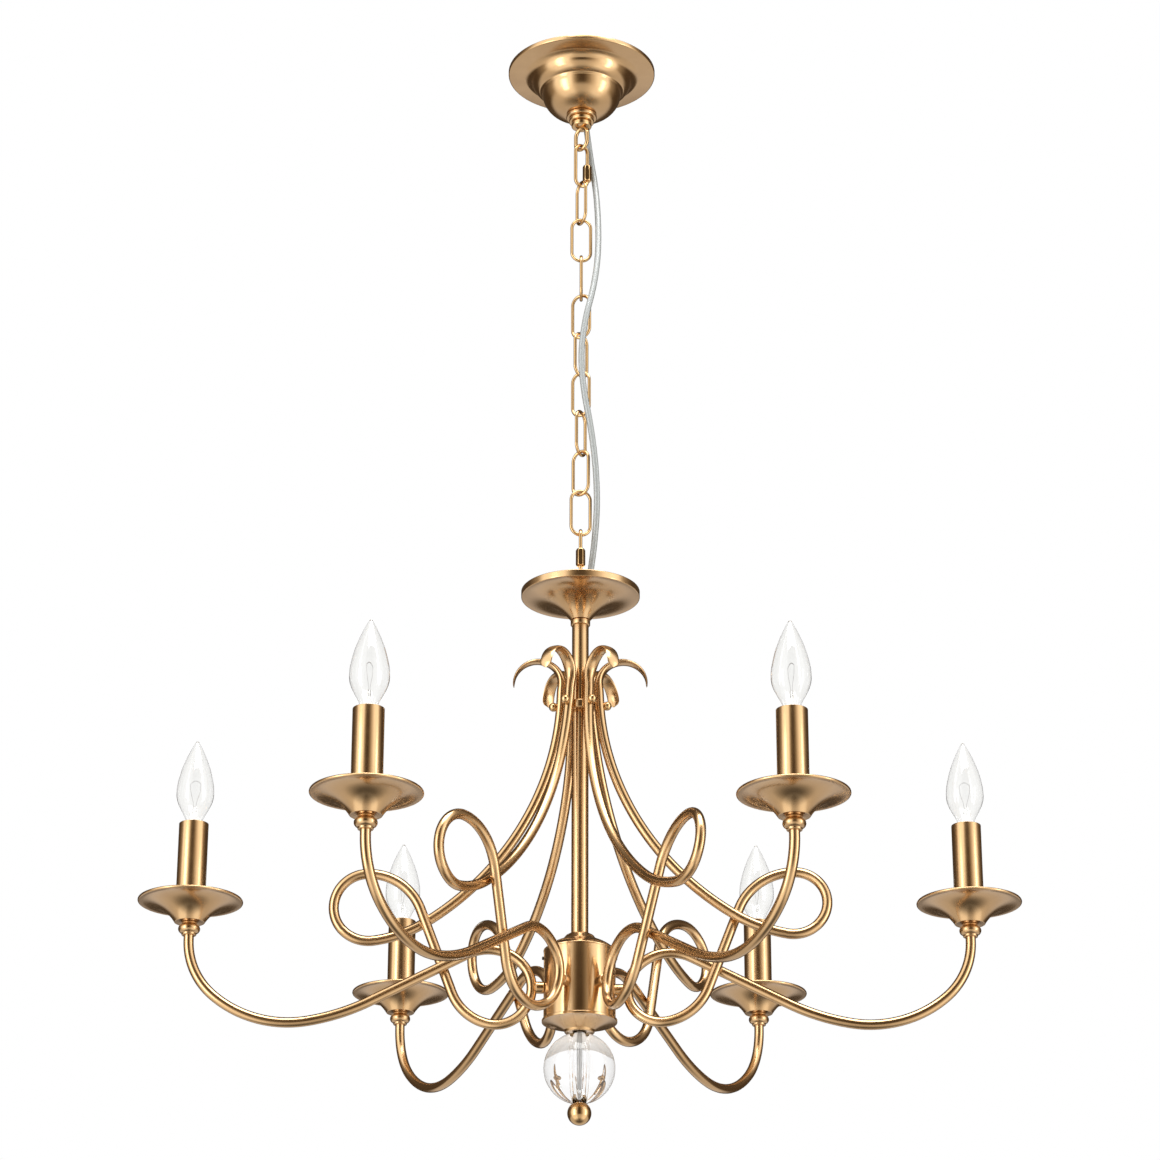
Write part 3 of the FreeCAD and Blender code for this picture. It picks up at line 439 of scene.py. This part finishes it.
# %% Canopy
canopy_profile = (
    [(73.6, 0.0), (74.8, 0.0), (74.8, -3.2)]
    + arc((74.8, -3.3), (74.4, -4.2), (73.6, -4.6), 5)
    + [(58.8, -5.7)]
    + arc((58.0, -5.8), (54.3, -7.5), (50.8, -11.5))
    + arc((50.6, -11.9), (47.5, -17.8), (43.2, -21.6))
    + arc((42.9, -21.7), (41.6, -22.5), (41.0, -23.9), 6)
    + arc((40.4, -24.6), (34.6, -39.6), (18.5, -49.6), 20)
    + [(15.0, -50.0), (5.1, -50.0), (5.1, -48.8), (17.2, -48.7)]
    + arc((18.0, -48.5), (33.4, -39.0), (39.4, -23.8), 20)
    + arc((42.0, -20.8), (46.4, -17.0), (49.6, -11.4))
    + arc((49.8, -11.0), (53.6, -6.6), (58.0, -4.6))
    + [(73.2, -3.4)]
)
piece("canopy_shell", [lathe(rounded(canopy_profile, 0.5), 128)], satin_brass, "ceiling_group", ["canopy"])

# %% Collar, locking ring and loop
collar_profile = [(5.1, -50.0), (14.6, -50.0), (15.6, -50.8), (15.6, -53.7), (14.9, -54.5),
                  (5.1, -54.5)]
ring_profile = [(5.1, -54.5), (12.2, -54.5), (12.8, -55.2), (12.8, -58.3), (12.2, -59.0), (5.1, -59.0)]
neck_profile = [(0.0, -59.0), (9.4, -59.0), (10.2, -59.8), (10.2, -63.6), (9.3, -64.5), (0.0, -64.5)]
piece("collar_ring", [lathe(rounded(collar_profile, 0.5))], satin_brass, "ceiling_group",
      ["canopy_collar"])
piece("locking_ring", [lathe(rounded(ring_profile, 0.4))], polished_brass, "ceiling_group",
      ["canopy_locking_ring"])


def stadium(inner_length, width, wire, bottom, turn, gap=None):
    """The centreline of a link: two straight legs and two half circles, evenly stepped.
    Its plane stands at an angle from the X axis. With a gap, it starts and stops in the right leg."""
    bend = (width - wire) / 2
    leg = inner_length + wire - 2 * bend
    t = np.linspace(0, math.pi, 25)[1:-1]
    low, high = bottom + bend - wire / 2, bottom + bend - wire / 2 + leg
    up_leg = np.linspace(low, high, 12)
    right = np.stack([np.full(12, bend), up_leg], -1)
    top = np.stack([bend * np.cos(t), high + bend * np.sin(t)], -1)
    left = np.stack([np.full(12, -bend), up_leg[::-1]], -1)
    base = np.stack([-bend * np.cos(t), low - bend * np.sin(t)], -1)
    if gap:
        upper = np.array([(bend, gap[1]), (bend, (gap[1] + high) / 2), (bend, high)])
        lower = np.array([(bend, low), (bend, (gap[0] + low) / 2), (bend, gap[0])])
        flat = np.vstack([upper, top, left, base, lower])
    else:
        flat = np.vstack([right, top, left, base])
    a = math.radians(turn)
    return np.stack([flat[:, 0] * math.cos(a), flat[:, 0] * math.sin(a), flat[:, 1]], -1)


def bent(path, radius, turn, closed=True):
    """A bar bent flat: its section keeps one side square to the plane of the link."""
    a = math.radians(turn)
    return bar(path, radius, closed=closed, up=(-math.sin(a), math.cos(a), 0.0))


hook = bent(stadium(20.0, 20.0, 4.0, -87.5, -45.0), 2.0, -45.0)
piece("canopy_hook_loop", [hook, lathe(rounded(neck_profile, 0.5, False), hollow=False)],
      polished_brass, "ceiling_group", ["canopy_loop"])

# %% [markdown]
# ## The chain
# Nine plain links, bent from 3.2 mm wire, hang between two screw links. A screw link is the one
# that opens: a hexagonal sleeve nut closes a gap in one leg. Neighbours stand about square to each
# other and none hangs quite true, which is what makes a real chain look loose.

# %% Plain links
LINK_TURNS = (-63.0, 5.0, 90.0, -27.0, 52.0, -30.0, 63.0, -38.0, 10.0)
bottom = -130.0
for number, turn in enumerate(LINK_TURNS, start=1):
    bottom += 0.3 - 42.9
    wire = bent(stadium(42.9, 22.0, 3.2, bottom, turn), 1.6, turn)
    piece(f"plain_link_{number}", [wire], polished_brass, f"link_{number}", [f"chain_link_{number}"])


# %% Screw links
def hex_sleeve(x, low, turn, flats=8.0, length=17.5, bore=1.83):
    """A hexagonal sleeve: the radius is the smaller of the hexagon, flats / 2 / cos(angle from the
    middle of a flat), and a cone that chamfers both ends."""
    t = np.linspace(0, math.tau, 72, endpoint=False)
    hexagon = flats / 2 / np.cos((t + math.pi / 6) % (math.pi / 3) - math.pi / 6)
    rise = np.array([0.0, 0.0, 0.45, 0.9, 1.5])
    level = np.concatenate([rise, length - rise[::-1]])
    limit = np.array([bore, 3.7, 3.98, 4.25, 4.7, 4.7, 4.25, 3.98, 3.7, bore])
    radius = np.minimum(hexagon[None], limit[:, None])
    radius[0] = radius[-1] = bore
    points = np.stack([radius * np.cos(t), radius * np.sin(t), np.repeat(level[:, None], 72, 1)], -1)
    return turned(grid(points + (x, 0, low), wrap_rows=True), math.radians(turn))


for name, low, turn in (("upper", -130.0, 30.0), ("lower", -555.9, -90.0)):
    nut_low = low - 3.5 + 9.0
    opening = (nut_low + 1.5, nut_low + 7.0)
    wire = bent(stadium(42.8, 17.0, 3.5, low, turn, opening), 1.75, turn, closed=False)
    piece(f"{name}_screw_link_wire", [wire], polished_brass, f"{name}_link", [f"{name}_screw_link"])
    piece(f"{name}_sleeve_nut", [hex_sleeve(6.75, nut_low, turn)], polished_brass, f"{name}_nut",
          [f"{name}_link_nut"])

# %% [markdown]
# ## Cap, stem and crown
# The body hangs from a ring whose shank goes down into an open trumpet-shaped cap. Below it the
# stem is a plain tube. A heavier ring, the crown, takes the six arms, and a ball nut on each screw
# holds them.

# %% Body ring and cap
def flare(foot, rim, slope, steps=30, lift=0.0):
    """A trumpet's skin: the circle arc from foot to rim that starts at a slope. lift moves it
    outwards from the circle's centre, which gives the other skin of an even sheet."""
    (x0, z0), (x1, z1) = foot, rim
    chord = math.hypot(x1 - x0, z1 - z0)
    half = math.radians(slope) - math.atan2(z1 - z0, x1 - x0)
    radius = chord / (2 * math.sin(half))
    cx, cz = x0 + radius * math.sin(math.radians(slope)), z0 - radius * math.cos(math.radians(slope))
    a0, a1 = math.atan2(z0 - cz, x0 - cx), math.atan2(z1 - cz, x1 - cx)
    angle = np.linspace(a0, a1, steps)
    radius += lift
    return np.stack([cx + radius * np.cos(angle), cz + radius * np.sin(angle)], -1).tolist()


ring_z = -565.1
t = np.linspace(0, math.tau, 64, endpoint=False)
ring_path = np.stack([11.75 * np.cos(t), 0 * t, ring_z + 11.75 * np.sin(t)], -1)
shank = rounded([(0.0, -602.9), (5.0, -602.9), (5.0, -580.2), (3.6, -577.6), (0.0, -577.0)], 0.6, False)
ring = bar(ring_path, 2.25, closed=True, up=(0, 1, 0))
piece("body_ring", [ring, lathe(shank, 48, False)], polished_brass, "chandelier", ["body_loop"])
cap_profile = (
    [(5.1, -604.2), (9.6, -604.2)]
    + flare((9.6, -604.2), (56.0, -581.0), 57.0)
    + arc((56.2, -581.0), (56.9, -580.7), (57.1, -580.0), 5)
    + [(57.1, -575.2)]
    + arc((57.1, -574.8), (56.4, -574.2), (55.7, -574.8), 7)
    + [(55.5, -579.0)]
    + flare((9.6, -604.2), (56.0, -581.0), 57.0, lift=1.2)[::-1][1:]
    + [(8.2, -603.0), (5.1, -603.0)]
)
piece("trumpet_cap", [lathe(rounded(cap_profile, 0.4), 128)], satin_brass, "chandelier", ["top_cap"])

# %% Stem and crown
stem_ring = [(5.1, -610.2), (8.4, -610.2), (9.4, -609.3), (9.4, -605.1), (8.6, -604.2), (5.1, -604.2)]
upper = [(6.8, -693.0), (8.0, -693.0), (8.0, -610.2), (6.8, -610.2)]
lower = [(6.8, -917.9), (8.0, -917.9), (8.0, -693.0), (6.8, -693.0)]
crown = [(8.05, -697.5), (12.4, -697.5), (13.5, -696.4), (13.5, -689.6), (12.4, -688.5), (8.05, -688.5)]
piece("stem_collar_ring", [lathe(rounded(stem_ring, 0.5))], satin_brass, "chandelier", ["stem_collar"])
piece("stem_upper_tube", [lathe(rounded(upper, 0.3))], satin_brass, "chandelier", ["upper_stem"])
piece("stem_lower_tube", [lathe(rounded(lower, 0.3))], satin_brass, "chandelier", ["lower_stem"])
piece("crown_band", [lathe(rounded(crown, 0.7))], satin_brass, "chandelier", ["crown_ring"])

# %% [markdown]
# ## The arms
# Each arm is one length of 9.5 mm tube on a bender: swept down and in under the candle, looped
# against the hub, thrown up into a second loop, and carried up to the crown, where its end is
# hammered flat and curled over like a leaf. The bender's own list, lengths, radii, turns and
# twists, draws it here too.

# %% Bending schedule
TWIST, STRAIGHT, BEND = "twist", "straight", "bend"
SCHEDULE = [
    (TWIST, 1.0), (STRAIGHT, 8.0), (BEND, 70.0, 49.5), (BEND, 108.0, 50.0), (BEND, 200.0, 17.0),
    (STRAIGHT, 100.0), (BEND, 43.0, -74.0), (TWIST, 10.75), (BEND, 33.0, -42.5), ("hub screw",),
    (BEND, 33.0, -104.0), (BEND, 49.0, -55.5), (TWIST, 3.25), (STRAIGHT, 83.0), (BEND, 54.0, 70.5),
    (BEND, 31.0, 130.0), (TWIST, -11.5), (BEND, 33.0, 58.0), (TWIST, 13.0), (BEND, 128.0, 23.5),
    (TWIST, -10.0), (BEND, 268.0, 54.0), ("crown screw",), (BEND, 268.0, 1.5), (STRAIGHT, 14.5),
    ("leaf",), (BEND, 23.0, 190.0),
]


def about(axis, angles, vector):
    """A vector turned about a unit axis by each of several angles, by Rodrigues' formula."""
    c, s = np.cos(angles)[:, None], np.sin(angles)[:, None]
    return vector * c + np.cross(axis, vector) * s + axis * (axis @ vector) * (1 - c)


def bend_tube(schedule, step=2.4):
    """Walks the schedule. Returns the points of the centreline, the bending plane's normal and the
    outward direction at each, and where the named stations are."""
    point, heading = np.array([LAMP_CIRCLE, 0.0, -914.8]), np.array([0.0, 0.0, -1.0])
    plane = np.array([0.0, 1.0, 0.0])
    points, planes, headings, stations = [point[None]], [plane[None]], [heading[None]], {}
    for kind, *numbers in schedule:
        if kind == TWIST:
            plane = about(heading, np.radians([numbers[0]]), plane)[0]
        elif kind == STRAIGHT:
            run = np.linspace(0, numbers[0], max(2, int(numbers[0] / step)))[1:, None]
            points.append(point + heading * run)
            planes.append(np.repeat(plane[None], len(run), 0))
            headings.append(np.repeat(heading[None], len(run), 0))
            point = points[-1][-1]
        elif kind == BEND:
            radius, turn = numbers[0], math.radians(numbers[1])
            angles = np.linspace(0, turn, max(4, int(abs(turn) * radius / step)))[1:]
            centre = point + np.cross(plane, heading) * radius * np.sign(turn)
            points.append(centre + about(plane, angles, point - centre))
            headings.append(about(plane, angles, heading))
            planes.append(np.repeat(plane[None], len(angles), 0))
            point, heading = points[-1][-1], headings[-1][-1]
        else:
            stations[kind] = (sum(len(p) for p in points) - 1, point.copy())
    points, planes, headings = np.vstack(points), np.vstack(planes), np.vstack(headings)
    return points, planes, np.cross(headings, planes), stations


arm_line, arm_planes, arm_out, stations = bend_tube(SCHEDULE)
travelled = np.concatenate([[0], np.cumsum(np.linalg.norm(np.diff(arm_line, axis=0), axis=1))])
print("arm:", len(arm_line), "rings,", round(travelled[-1]), "mm of tube, crown at",
      stations["crown screw"][1].round(1))

# %% [markdown]
# The section is a circle that flattens into the leaf. Its half-width eases out to 6.4 mm and stays
# there, then closes along an ellipse over the last 7 mm, so from the front it is a blunt tongue.
# Its half-depth falls steadily from the tube's 4.75 mm to 0.75 mm, so from the side it is a wedge.

# %% Arms
leaf_start = travelled[stations["leaf"][0]]
into = np.clip((travelled - leaf_start + 8.0) / 26.0, 0, 1)
ease = into**2 * (3 - 2 * into)
along = np.clip((travelled - leaf_start + 6.0) / (travelled[-1] - leaf_start + 6.0), 0, 1)
left = np.clip((travelled[-1] - travelled) / 7.0, 0, 1)
tip = np.sqrt(np.clip(1 - (1 - left) ** 2, 0.0004, 1))
half_width = (4.75 + (6.4 - 4.75) * ease) * tip
half_depth = (4.75 + (0.75 - 4.75) * along**0.85) * (0.3 + 0.7 * tip)
t = np.linspace(0, math.tau, 24, endpoint=False)[None, :, None]
arm_rings = arm_line[:, None] + (
    np.cos(t) * half_width[:, None, None] * arm_planes[:, None]
    + np.sin(t) * half_depth[:, None, None] * arm_out[:, None]
)
arm_part = grid(arm_rings)
for number, angle in enumerate(LAMPS, start=1):
    arm = turned(arm_part, angle)
    piece(f"scrolled_arm_{number}", [arm], satin_brass, "chandelier", [f"arm_{number}"])

# %% Ball nuts and ferrules
_, at_crown = stations["crown screw"]
_, at_hub = stations["hub screw"]
t = np.linspace(-math.pi / 2, math.pi / 2, 25)
ball = np.stack([4.3 * np.cos(t), 4.3 * np.sin(t)], -1)
nut = lathe(ball, 32, False)
nut_part = (nut[0] + (at_crown[0] + 4.75 + 2.4, at_crown[1], at_crown[2]), nut[1], nut[2])
piece("crown_ball_nuts", around(nut_part), polished_brass, "chandelier", ["crown_cap_nuts"])


def lying(part, x, y, z):
    """A part turned on an upright axis, laid down so that its axis points outwards along X."""
    verts, quads, tris = part
    return np.stack([verts[:, 2] + x, verts[:, 1] + y, z - verts[:, 0]], -1), quads, tris


face = at_hub[0] - 4.75
foot = 32.6
reach = face - foot + 1.4
barrel = rounded([(0, 0), (5.2, 0), (5.6, 0.5), (5.6, reach - 0.8), (4.8, reach), (0, reach)], 0.3, False)
ferrule = lying(lathe(barrel, 40, False), foot, at_hub[1], at_hub[2])
piece("hub_ferrules", around(ferrule), satin_brass, "chandelier", ["arm_ferrules"])

# %% [markdown]
# ## The hub
# A short drum closed by a domed lid above and a dished base below. Two small dark screws hold the
# lid. Under it hangs the crystal ball on the tie rod, and a brass ball nut ends it.

# %% Hub drum, lid and base
drum = [(31.7, -998.5), (33.2, -998.5), (33.2, -934.0), (31.7, -934.0)]
lid = (
    [(8.05, -917.9), (8.05, -916.5), (9.2, -916.5), (13.0, -918.7)]
    + arc((16.5, -923.1), (25.9, -927.1), (33.5, -932.8), 20)
    + [(33.5, -934.0), (31.0, -934.0)]
    + arc((31.0, -933.8), (24.6, -928.3), (15.8, -924.3), 18)
    + [(12.4, -919.9), (8.8, -917.9)]
)
base = (
    [(2.55, -1000.1), (2.55, -1011.0), (13.1, -1011.0), (13.6, -1010.6), (14.3, -1008.8)]
    + arc((14.5, -1008.5), (25.0, -1003.2), (34.6, -1001.2), 20)
    + [(34.8, -1000.9), (34.8, -998.9), (34.4, -998.5), (30.8, -998.5), (29.8, -1000.1)]
)
piece("hub_drum", [lathe(rounded(drum, 0.3), 128)], satin_brass, "chandelier", ["hub_shell"])
piece("hub_domed_lid", [lathe(rounded(lid, 0.3), 128)], satin_brass, "chandelier", ["hub_lid"])
piece("hub_dished_base", [lathe(rounded(base, 0.3), 128)], satin_brass, "chandelier", ["hub_base"])
grub = [(0, -1.6), (1.6, -1.6), (1.6, 1.2), (1.2, 1.6), (0.8, 1.6), (0.7, 0.6), (0, 0.6)]
grub = rounded(grub, 0.1, False)
grub_part = lying(lathe(grub, 24, False), 33.2, 0, -940.0)
piece("hub_grub_screws", [grub_part, turned(grub_part, math.pi)], dark_steel, "chandelier",
      ["hub_screws"])

# %% Crystal ball and finial
t = np.linspace(math.asin(6.2 / 32.8), math.pi - math.asin(6.2 / 32.8), 72)
crystal = np.stack([32.8 * np.sin(t), -1043.9 + 32.8 * np.cos(t)], -1).tolist()
crystal += [(6.2, -1060.0), (6.2, -1028.0)]
piece("crystal_sphere", [lathe(crystal, 128)], crystal_glass, "chandelier", ["crystal_ball"])
t = np.linspace(math.asin(2.6 / 11.0), math.pi, 40)
finial = np.stack([11.0 * np.sin(t), -1085.8 + 11.0 * np.cos(t)], -1).tolist()
finial = [(0.0, -1081.0), (2.6, -1081.0)] + finial
piece("finial_sphere", [lathe(finial, 72, False)], polished_brass, "chandelier", ["finial_ball"])

# %% [markdown]
# ## The candles
# Each arm carries a turned seat, a spun drip pan with a rolled rim, a brass sleeve over a lamp
# holder, and a clear candle bulb. The bulb is blown, so it is a thin shell: a solid one would act
# as a lens.

# %% Seats, pans and sleeves
seat = (
    [(4.8, -919.0), (6.4, -919.0), (6.9, -918.4), (6.9, -917.2)]
    + arc((7.1, -916.9), (10.2, -912.3), (7.6, -908.6), 12)
    + [(7.4, -908.3), (7.4, -906.9), (7.0, -906.5), (5.0, -906.5)]
    + [(5.0, -900.5), (1.0, -900.5), (1.0, -914.8), (4.8, -914.8)]
)
turn = np.radians(np.linspace(200, -60, 14))
bead = [(47.5 + 1.4 * math.sin(a), -886.0 + 1.4 * math.cos(a)) for a in turn]
pan = (
    [(5.1, -906.5), (13.4, -906.5)]
    + flare((14.0, -906.5), (47.0, -887.2), 60.0)[:-2]
    + bead
    + flare((14.0, -906.5), (47.0, -887.2), 60.0, lift=1.2)[::-1][2:]
    + [(12.4, -905.3), (5.1, -905.3)]
)
sleeve = [(12.9, -904.7), (13.8, -904.7), (13.8, -810.5), (12.9, -810.5)]
seats = around(lathe(rounded(seat, 0.3), 64), LAMP_CIRCLE)
sleeves = around(lathe(rounded(sleeve, 0.25), 72), LAMP_CIRCLE)
piece("turned_seats", seats, satin_brass, "chandelier", ["pan_seats"])
piece("brass_sleeves", sleeves, satin_brass, "chandelier", ["candle_sleeves"])
for number, angle in enumerate(LAMPS, start=1):
    dish = turned(lathe(rounded(pan, 0.4), 112, centre=(LAMP_CIRCLE, 0.0)), angle)
    piece(f"spun_pan_{number}", [dish], satin_brass, "chandelier", [f"drip_pan_{number}"])

# %% Lamp holders
holder = [(0, -900.5), (6.5, -900.5), (6.5, -860.5), (11.8, -858.5), (11.8, -816.9), (11.3, -816.5),
          (7.6, -816.5), (7.25, -817.0), (7.25, -838.5), (0, -838.5)]
piece("holders", around(lathe(rounded(holder, 0.3, False), 56, False), LAMP_CIRCLE), ceramic, "chandelier",
      ["lamp_holders"])


# %% Bulbs
def bulb_outline(shrink):
    """The candle shape as (radius, height): a short neck, a swelling to 17.5 mm a third of the way
    up, and a long taper to a drawn tip. shrink gives the inner skin."""
    key = np.array([(6.6, -813.5), (7.1, -810.0), (8.2, -806.0), (9.9, -802.0), (12.9, -796.3),
                    (15.5, -790.8), (17.1, -785.5), (17.5, -780.0), (16.8, -771.0), (13.8, -758.0),
                    (10.1, -747.4), (7.7, -741.6), (5.3, -736.4), (3.2, -732.2), (1.9, -729.9)])
    s = np.linspace(0, len(key) - 1, 80)
    left = np.clip(s.astype(int), 0, len(key) - 2)
    u = (s - left)[:, None]
    pad = np.vstack([2 * key[0] - key[1], key, 2 * key[-1] - key[-2]])
    a, b, c, d = (pad[left + k] for k in range(4))
    square, cube = 2 * a - 5 * b + 4 * c - d, 3 * b - a - 3 * c + d
    curve = 0.5 * (2 * b + (c - a) * u + square * u**2 + cube * u**3)
    return np.c_[np.maximum(curve[:, 0] - shrink, 0.3), curve[:, 1] - shrink * 0.6]


outer, inner = bulb_outline(0.0), bulb_outline(0.6)
skin = [(0.0, -728.4), (1.0, -728.6)] + outer[::-1].tolist()
skin += inner.tolist() + [(1.0, -730.6), (0.0, -730.5)]
skin = lathe(skin, 64, False)
cap_threads = [(7.0 - 0.32 * (1 - math.cos(math.tau * k / 8)), -828.0 + 0.35 * k) for k in range(41)]
cap = lathe(rounded([(0, -831), (3.2, -831), (4.2, -829.6), (6.2, -828.4)] + cap_threads
                    + [(6.95, -813.2), (6.6, -812.4), (0, -812.4)], 0.15, False), 48, False)
stem = lathe([(0, -812.4), (3.6, -812.4), (3.3, -808.0), (2.2, -803.0), (2.0, -795.0), (1.4, -793.6),
              (0, -793.4)], 28, False)
for number, angle in enumerate(LAMPS, start=1):
    place = (LAMP_CIRCLE * math.cos(angle), LAMP_CIRCLE * math.sin(angle), 0.0)
    body = f"bulb_{number}_lamp"
    piece(f"bulb_{number}_glass", [turned(skin, 0, place)], bulb_glass, body, [f"bulb_{number}"])
    piece(f"bulb_{number}_cap", [turned(cap, 0, place)], nickel, body)
    piece(f"bulb_{number}_stem", [turned(stem, 0, place)], bulb_glass, body)
    wires = []
    for side in (-1, 1):
        lead = rounded([(0.9 * side, 0, -800.0), (1.2 * side, 0, -790.0), (4.6 * side, 0, -778.0),
                        (4.9 * side, 0, -771.0)], 3.0, False)
        wires.append(turned(bar(lead, 0.13, 8), angle, place))
    u = np.linspace(0, 1, 240)
    rise = -771.0 + 3.2 * np.sin(math.pi * u) + 0.3 * np.cos(150 * u)
    coil = np.stack([-4.9 + 9.8 * u, 0.3 * np.sin(150 * u), rise], -1)
    wires.append(turned(bar(coil, 0.07, 6), angle, place))
    piece(f"bulb_{number}_filament", wires, tungsten, body)

# %% [markdown]
# ## Parts that stay as they are
# The crossbar, nipple, nuts, terminal block and tie rod are plain hardware, mostly out of sight.
# Their shapes are right, so they only get a real finish.

# %% Hardware finishes
for name, finish in (("ceiling_crossbar", zinc_steel), ("canopy_nipple", zinc_steel),
                     ("nipple_nuts", zinc_steel), ("tie_rod", zinc_steel), ("terminal_block", ceramic)):
    shown = frame["nodes"][name]
    shown.data.materials.clear()
    shown.data.materials.append(finish)
    print(name, "gets", finish.name)

# %% [markdown]
# ## Room and light
# Metal shows its room, so the room is drawn with care. There is a bright wall on the left and one on
# the right, and it is dark between them, behind the eye and behind the lamp: that gives round parts
# their bright and dark bands. Under the horizon the room turns into pale ground, dimmer straight
# down. Seen directly, or through glass, the room is plain white. The floor itself isn't seen in the
# metal, because the ground of the room is there already.

# %% Floor
slab = bpy.data.meshes.new("pale_floor")
slab.from_pydata([(-9, -9, -2.45), (9, -9, -2.45), (9, 9, -2.45), (-9, 9, -2.45)], [], [(0, 1, 2, 3)])
floor = bpy.data.objects.new("pale_floor", slab)
bpy.context.scene.collection.objects.link(floor)
slab.materials.append(plain("pale_floor_paint", "#F4F2EF", 0.85))
floor.visible_glossy = False
floor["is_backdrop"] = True

# %% World
world = bpy.data.worlds.new("studio")
bpy.context.scene.world = world
world.use_nodes = True
tree = world.node_tree
sky = tree.nodes["Background"]
path = add(tree, "ShaderNodeLightPath")
seen = add(tree, "ShaderNodeMath", {"operation": "MAXIMUM"})
tree.links.new(path.outputs["Is Camera Ray"], seen.inputs[0])
tree.links.new(path.outputs["Is Transmission Ray"], seen.inputs[1])
place = add(tree, "ShaderNodeTexCoord")
axes = add(tree, "ShaderNodeSeparateXYZ", Vector=place.outputs["Generated"])
front = add(tree, "ShaderNodeMath", {"operation": "MULTIPLY"}, {1: -1.0})
tree.links.new(axes.outputs["Y"], front.inputs[0])
bearing = add(tree, "ShaderNodeMath", {"operation": "ARCTAN2"})
tree.links.new(axes.outputs["X"], bearing.inputs[0])
tree.links.new(front.outputs[0], bearing.inputs[1])
whole_turn = {1: -math.pi, 2: math.pi}
around_room = add(tree, "ShaderNodeMapRange", inputs=whole_turn, Value=bearing.outputs[0])
walls = add(tree, "ShaderNodeValToRGB", Fac=around_room.outputs[0])
# Bearing in degrees, 0 towards the eye and negative to the left, and how bright the room is there.
WALLS = [(-180, 0.04), (-118, 0.05), (-90, 0.22), (-77, 0.90), (-31, 1.0), (-20, 0.25), (-10, 0.05),
         (8, 0.04), (20, 0.20), (34, 0.55), (50, 0.95), (78, 0.95), (90, 0.25), (115, 0.05),
         (180, 0.04)]
stops = walls.color_ramp.elements
for degrees, _ in WALLS[1:-1]:
    stops.new((degrees + 180) / 360)
for stop, (_, level) in zip(stops, WALLS):
    stop.color = (level, level**1.12, level**1.28, 1.0)  # the darker, the warmer
WALL_GAIN = 1.9
gain = add(tree, "ShaderNodeVectorMath", {"operation": "SCALE"}, {3: WALL_GAIN})
tree.links.new(walls.outputs["Color"], gain.inputs[0])
# Heights on the unit sphere: the ground brightens from DIM to PALE, and the walls give way to it
# from SKIRT_TOP down to SKIRT_FOOT.
DIM, PALE, SKIRT_TOP, SKIRT_FOOT = -0.97, -0.78, -0.24, -0.42
ground = add(tree, "ShaderNodeMapRange", inputs={1: DIM, 2: PALE, 3: 0.18, 4: 1.0},
             Value=axes.outputs["Z"])
skirt = add(tree, "ShaderNodeMapRange", inputs={1: SKIRT_TOP, 2: SKIRT_FOOT, 3: 0.0, 4: 1.0},
            Value=axes.outputs["Z"])
lower = add(tree, "ShaderNodeMix", {"data_type": "RGBA"})
tree.links.new(skirt.outputs[0], lower.inputs[0])
tree.links.new(gain.outputs[0], lower.inputs[6])
spread = add(tree, "ShaderNodeVectorMath", {"operation": "MULTIPLY_ADD"})
spread.inputs[1].default_value = (0.85, 0.85, 0.85)
spread.inputs[2].default_value = (0.72, 0.69, 0.66)
tree.links.new(walls.outputs["Color"], spread.inputs[0])
pale = add(tree, "ShaderNodeVectorMath", {"operation": "SCALE"})
tree.links.new(spread.outputs[0], pale.inputs[0])
tree.links.new(ground.outputs[0], pale.inputs[3])
tree.links.new(pale.outputs[0], lower.inputs[7])
room = add(tree, "ShaderNodeMix", {"data_type": "RGBA"})
room.inputs[7].default_value = (1.0, 1.0, 1.0, 1.0)
tree.links.new(lower.outputs[2], room.inputs[6])
tree.links.new(seen.outputs[0], room.inputs[0])
tree.links.new(room.outputs[2], sky.inputs["Color"])
sky.inputs["Strength"].default_value = 1.0


# %% Soft boxes
def soft_box(name, location, size, watts, aim=(0.0, 0.0, -0.75)):
    """A rectangular light that faces a point."""
    data = bpy.data.lights.new(name, "AREA")
    data.shape = "RECTANGLE"
    data.size, data.size_y = size
    data.energy = watts
    lamp = bpy.data.objects.new(name, data)
    bpy.context.scene.collection.objects.link(lamp)
    lamp.location = location
    away = np.array(location) - np.array(aim)
    away /= np.linalg.norm(away)
    lamp.rotation_euler = (math.acos(away[2]), 0.0, math.atan2(away[1], away[0]) + math.pi / 2)
    return lamp


soft_box("left_box", (-2.3, -1.93, -0.8), (0.8, 2.6), 20)
soft_box("right_box", (2.7, -1.3, -0.8), (0.5, 2.4), 12)
soft_box("top_box", (0.3, -1.2, 2.4), (2.8, 2.2), 120)
scene = bpy.context.scene
scene.view_settings.view_transform = "Standard"
scene.view_settings.look = "None"

# %% Sizes
low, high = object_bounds()
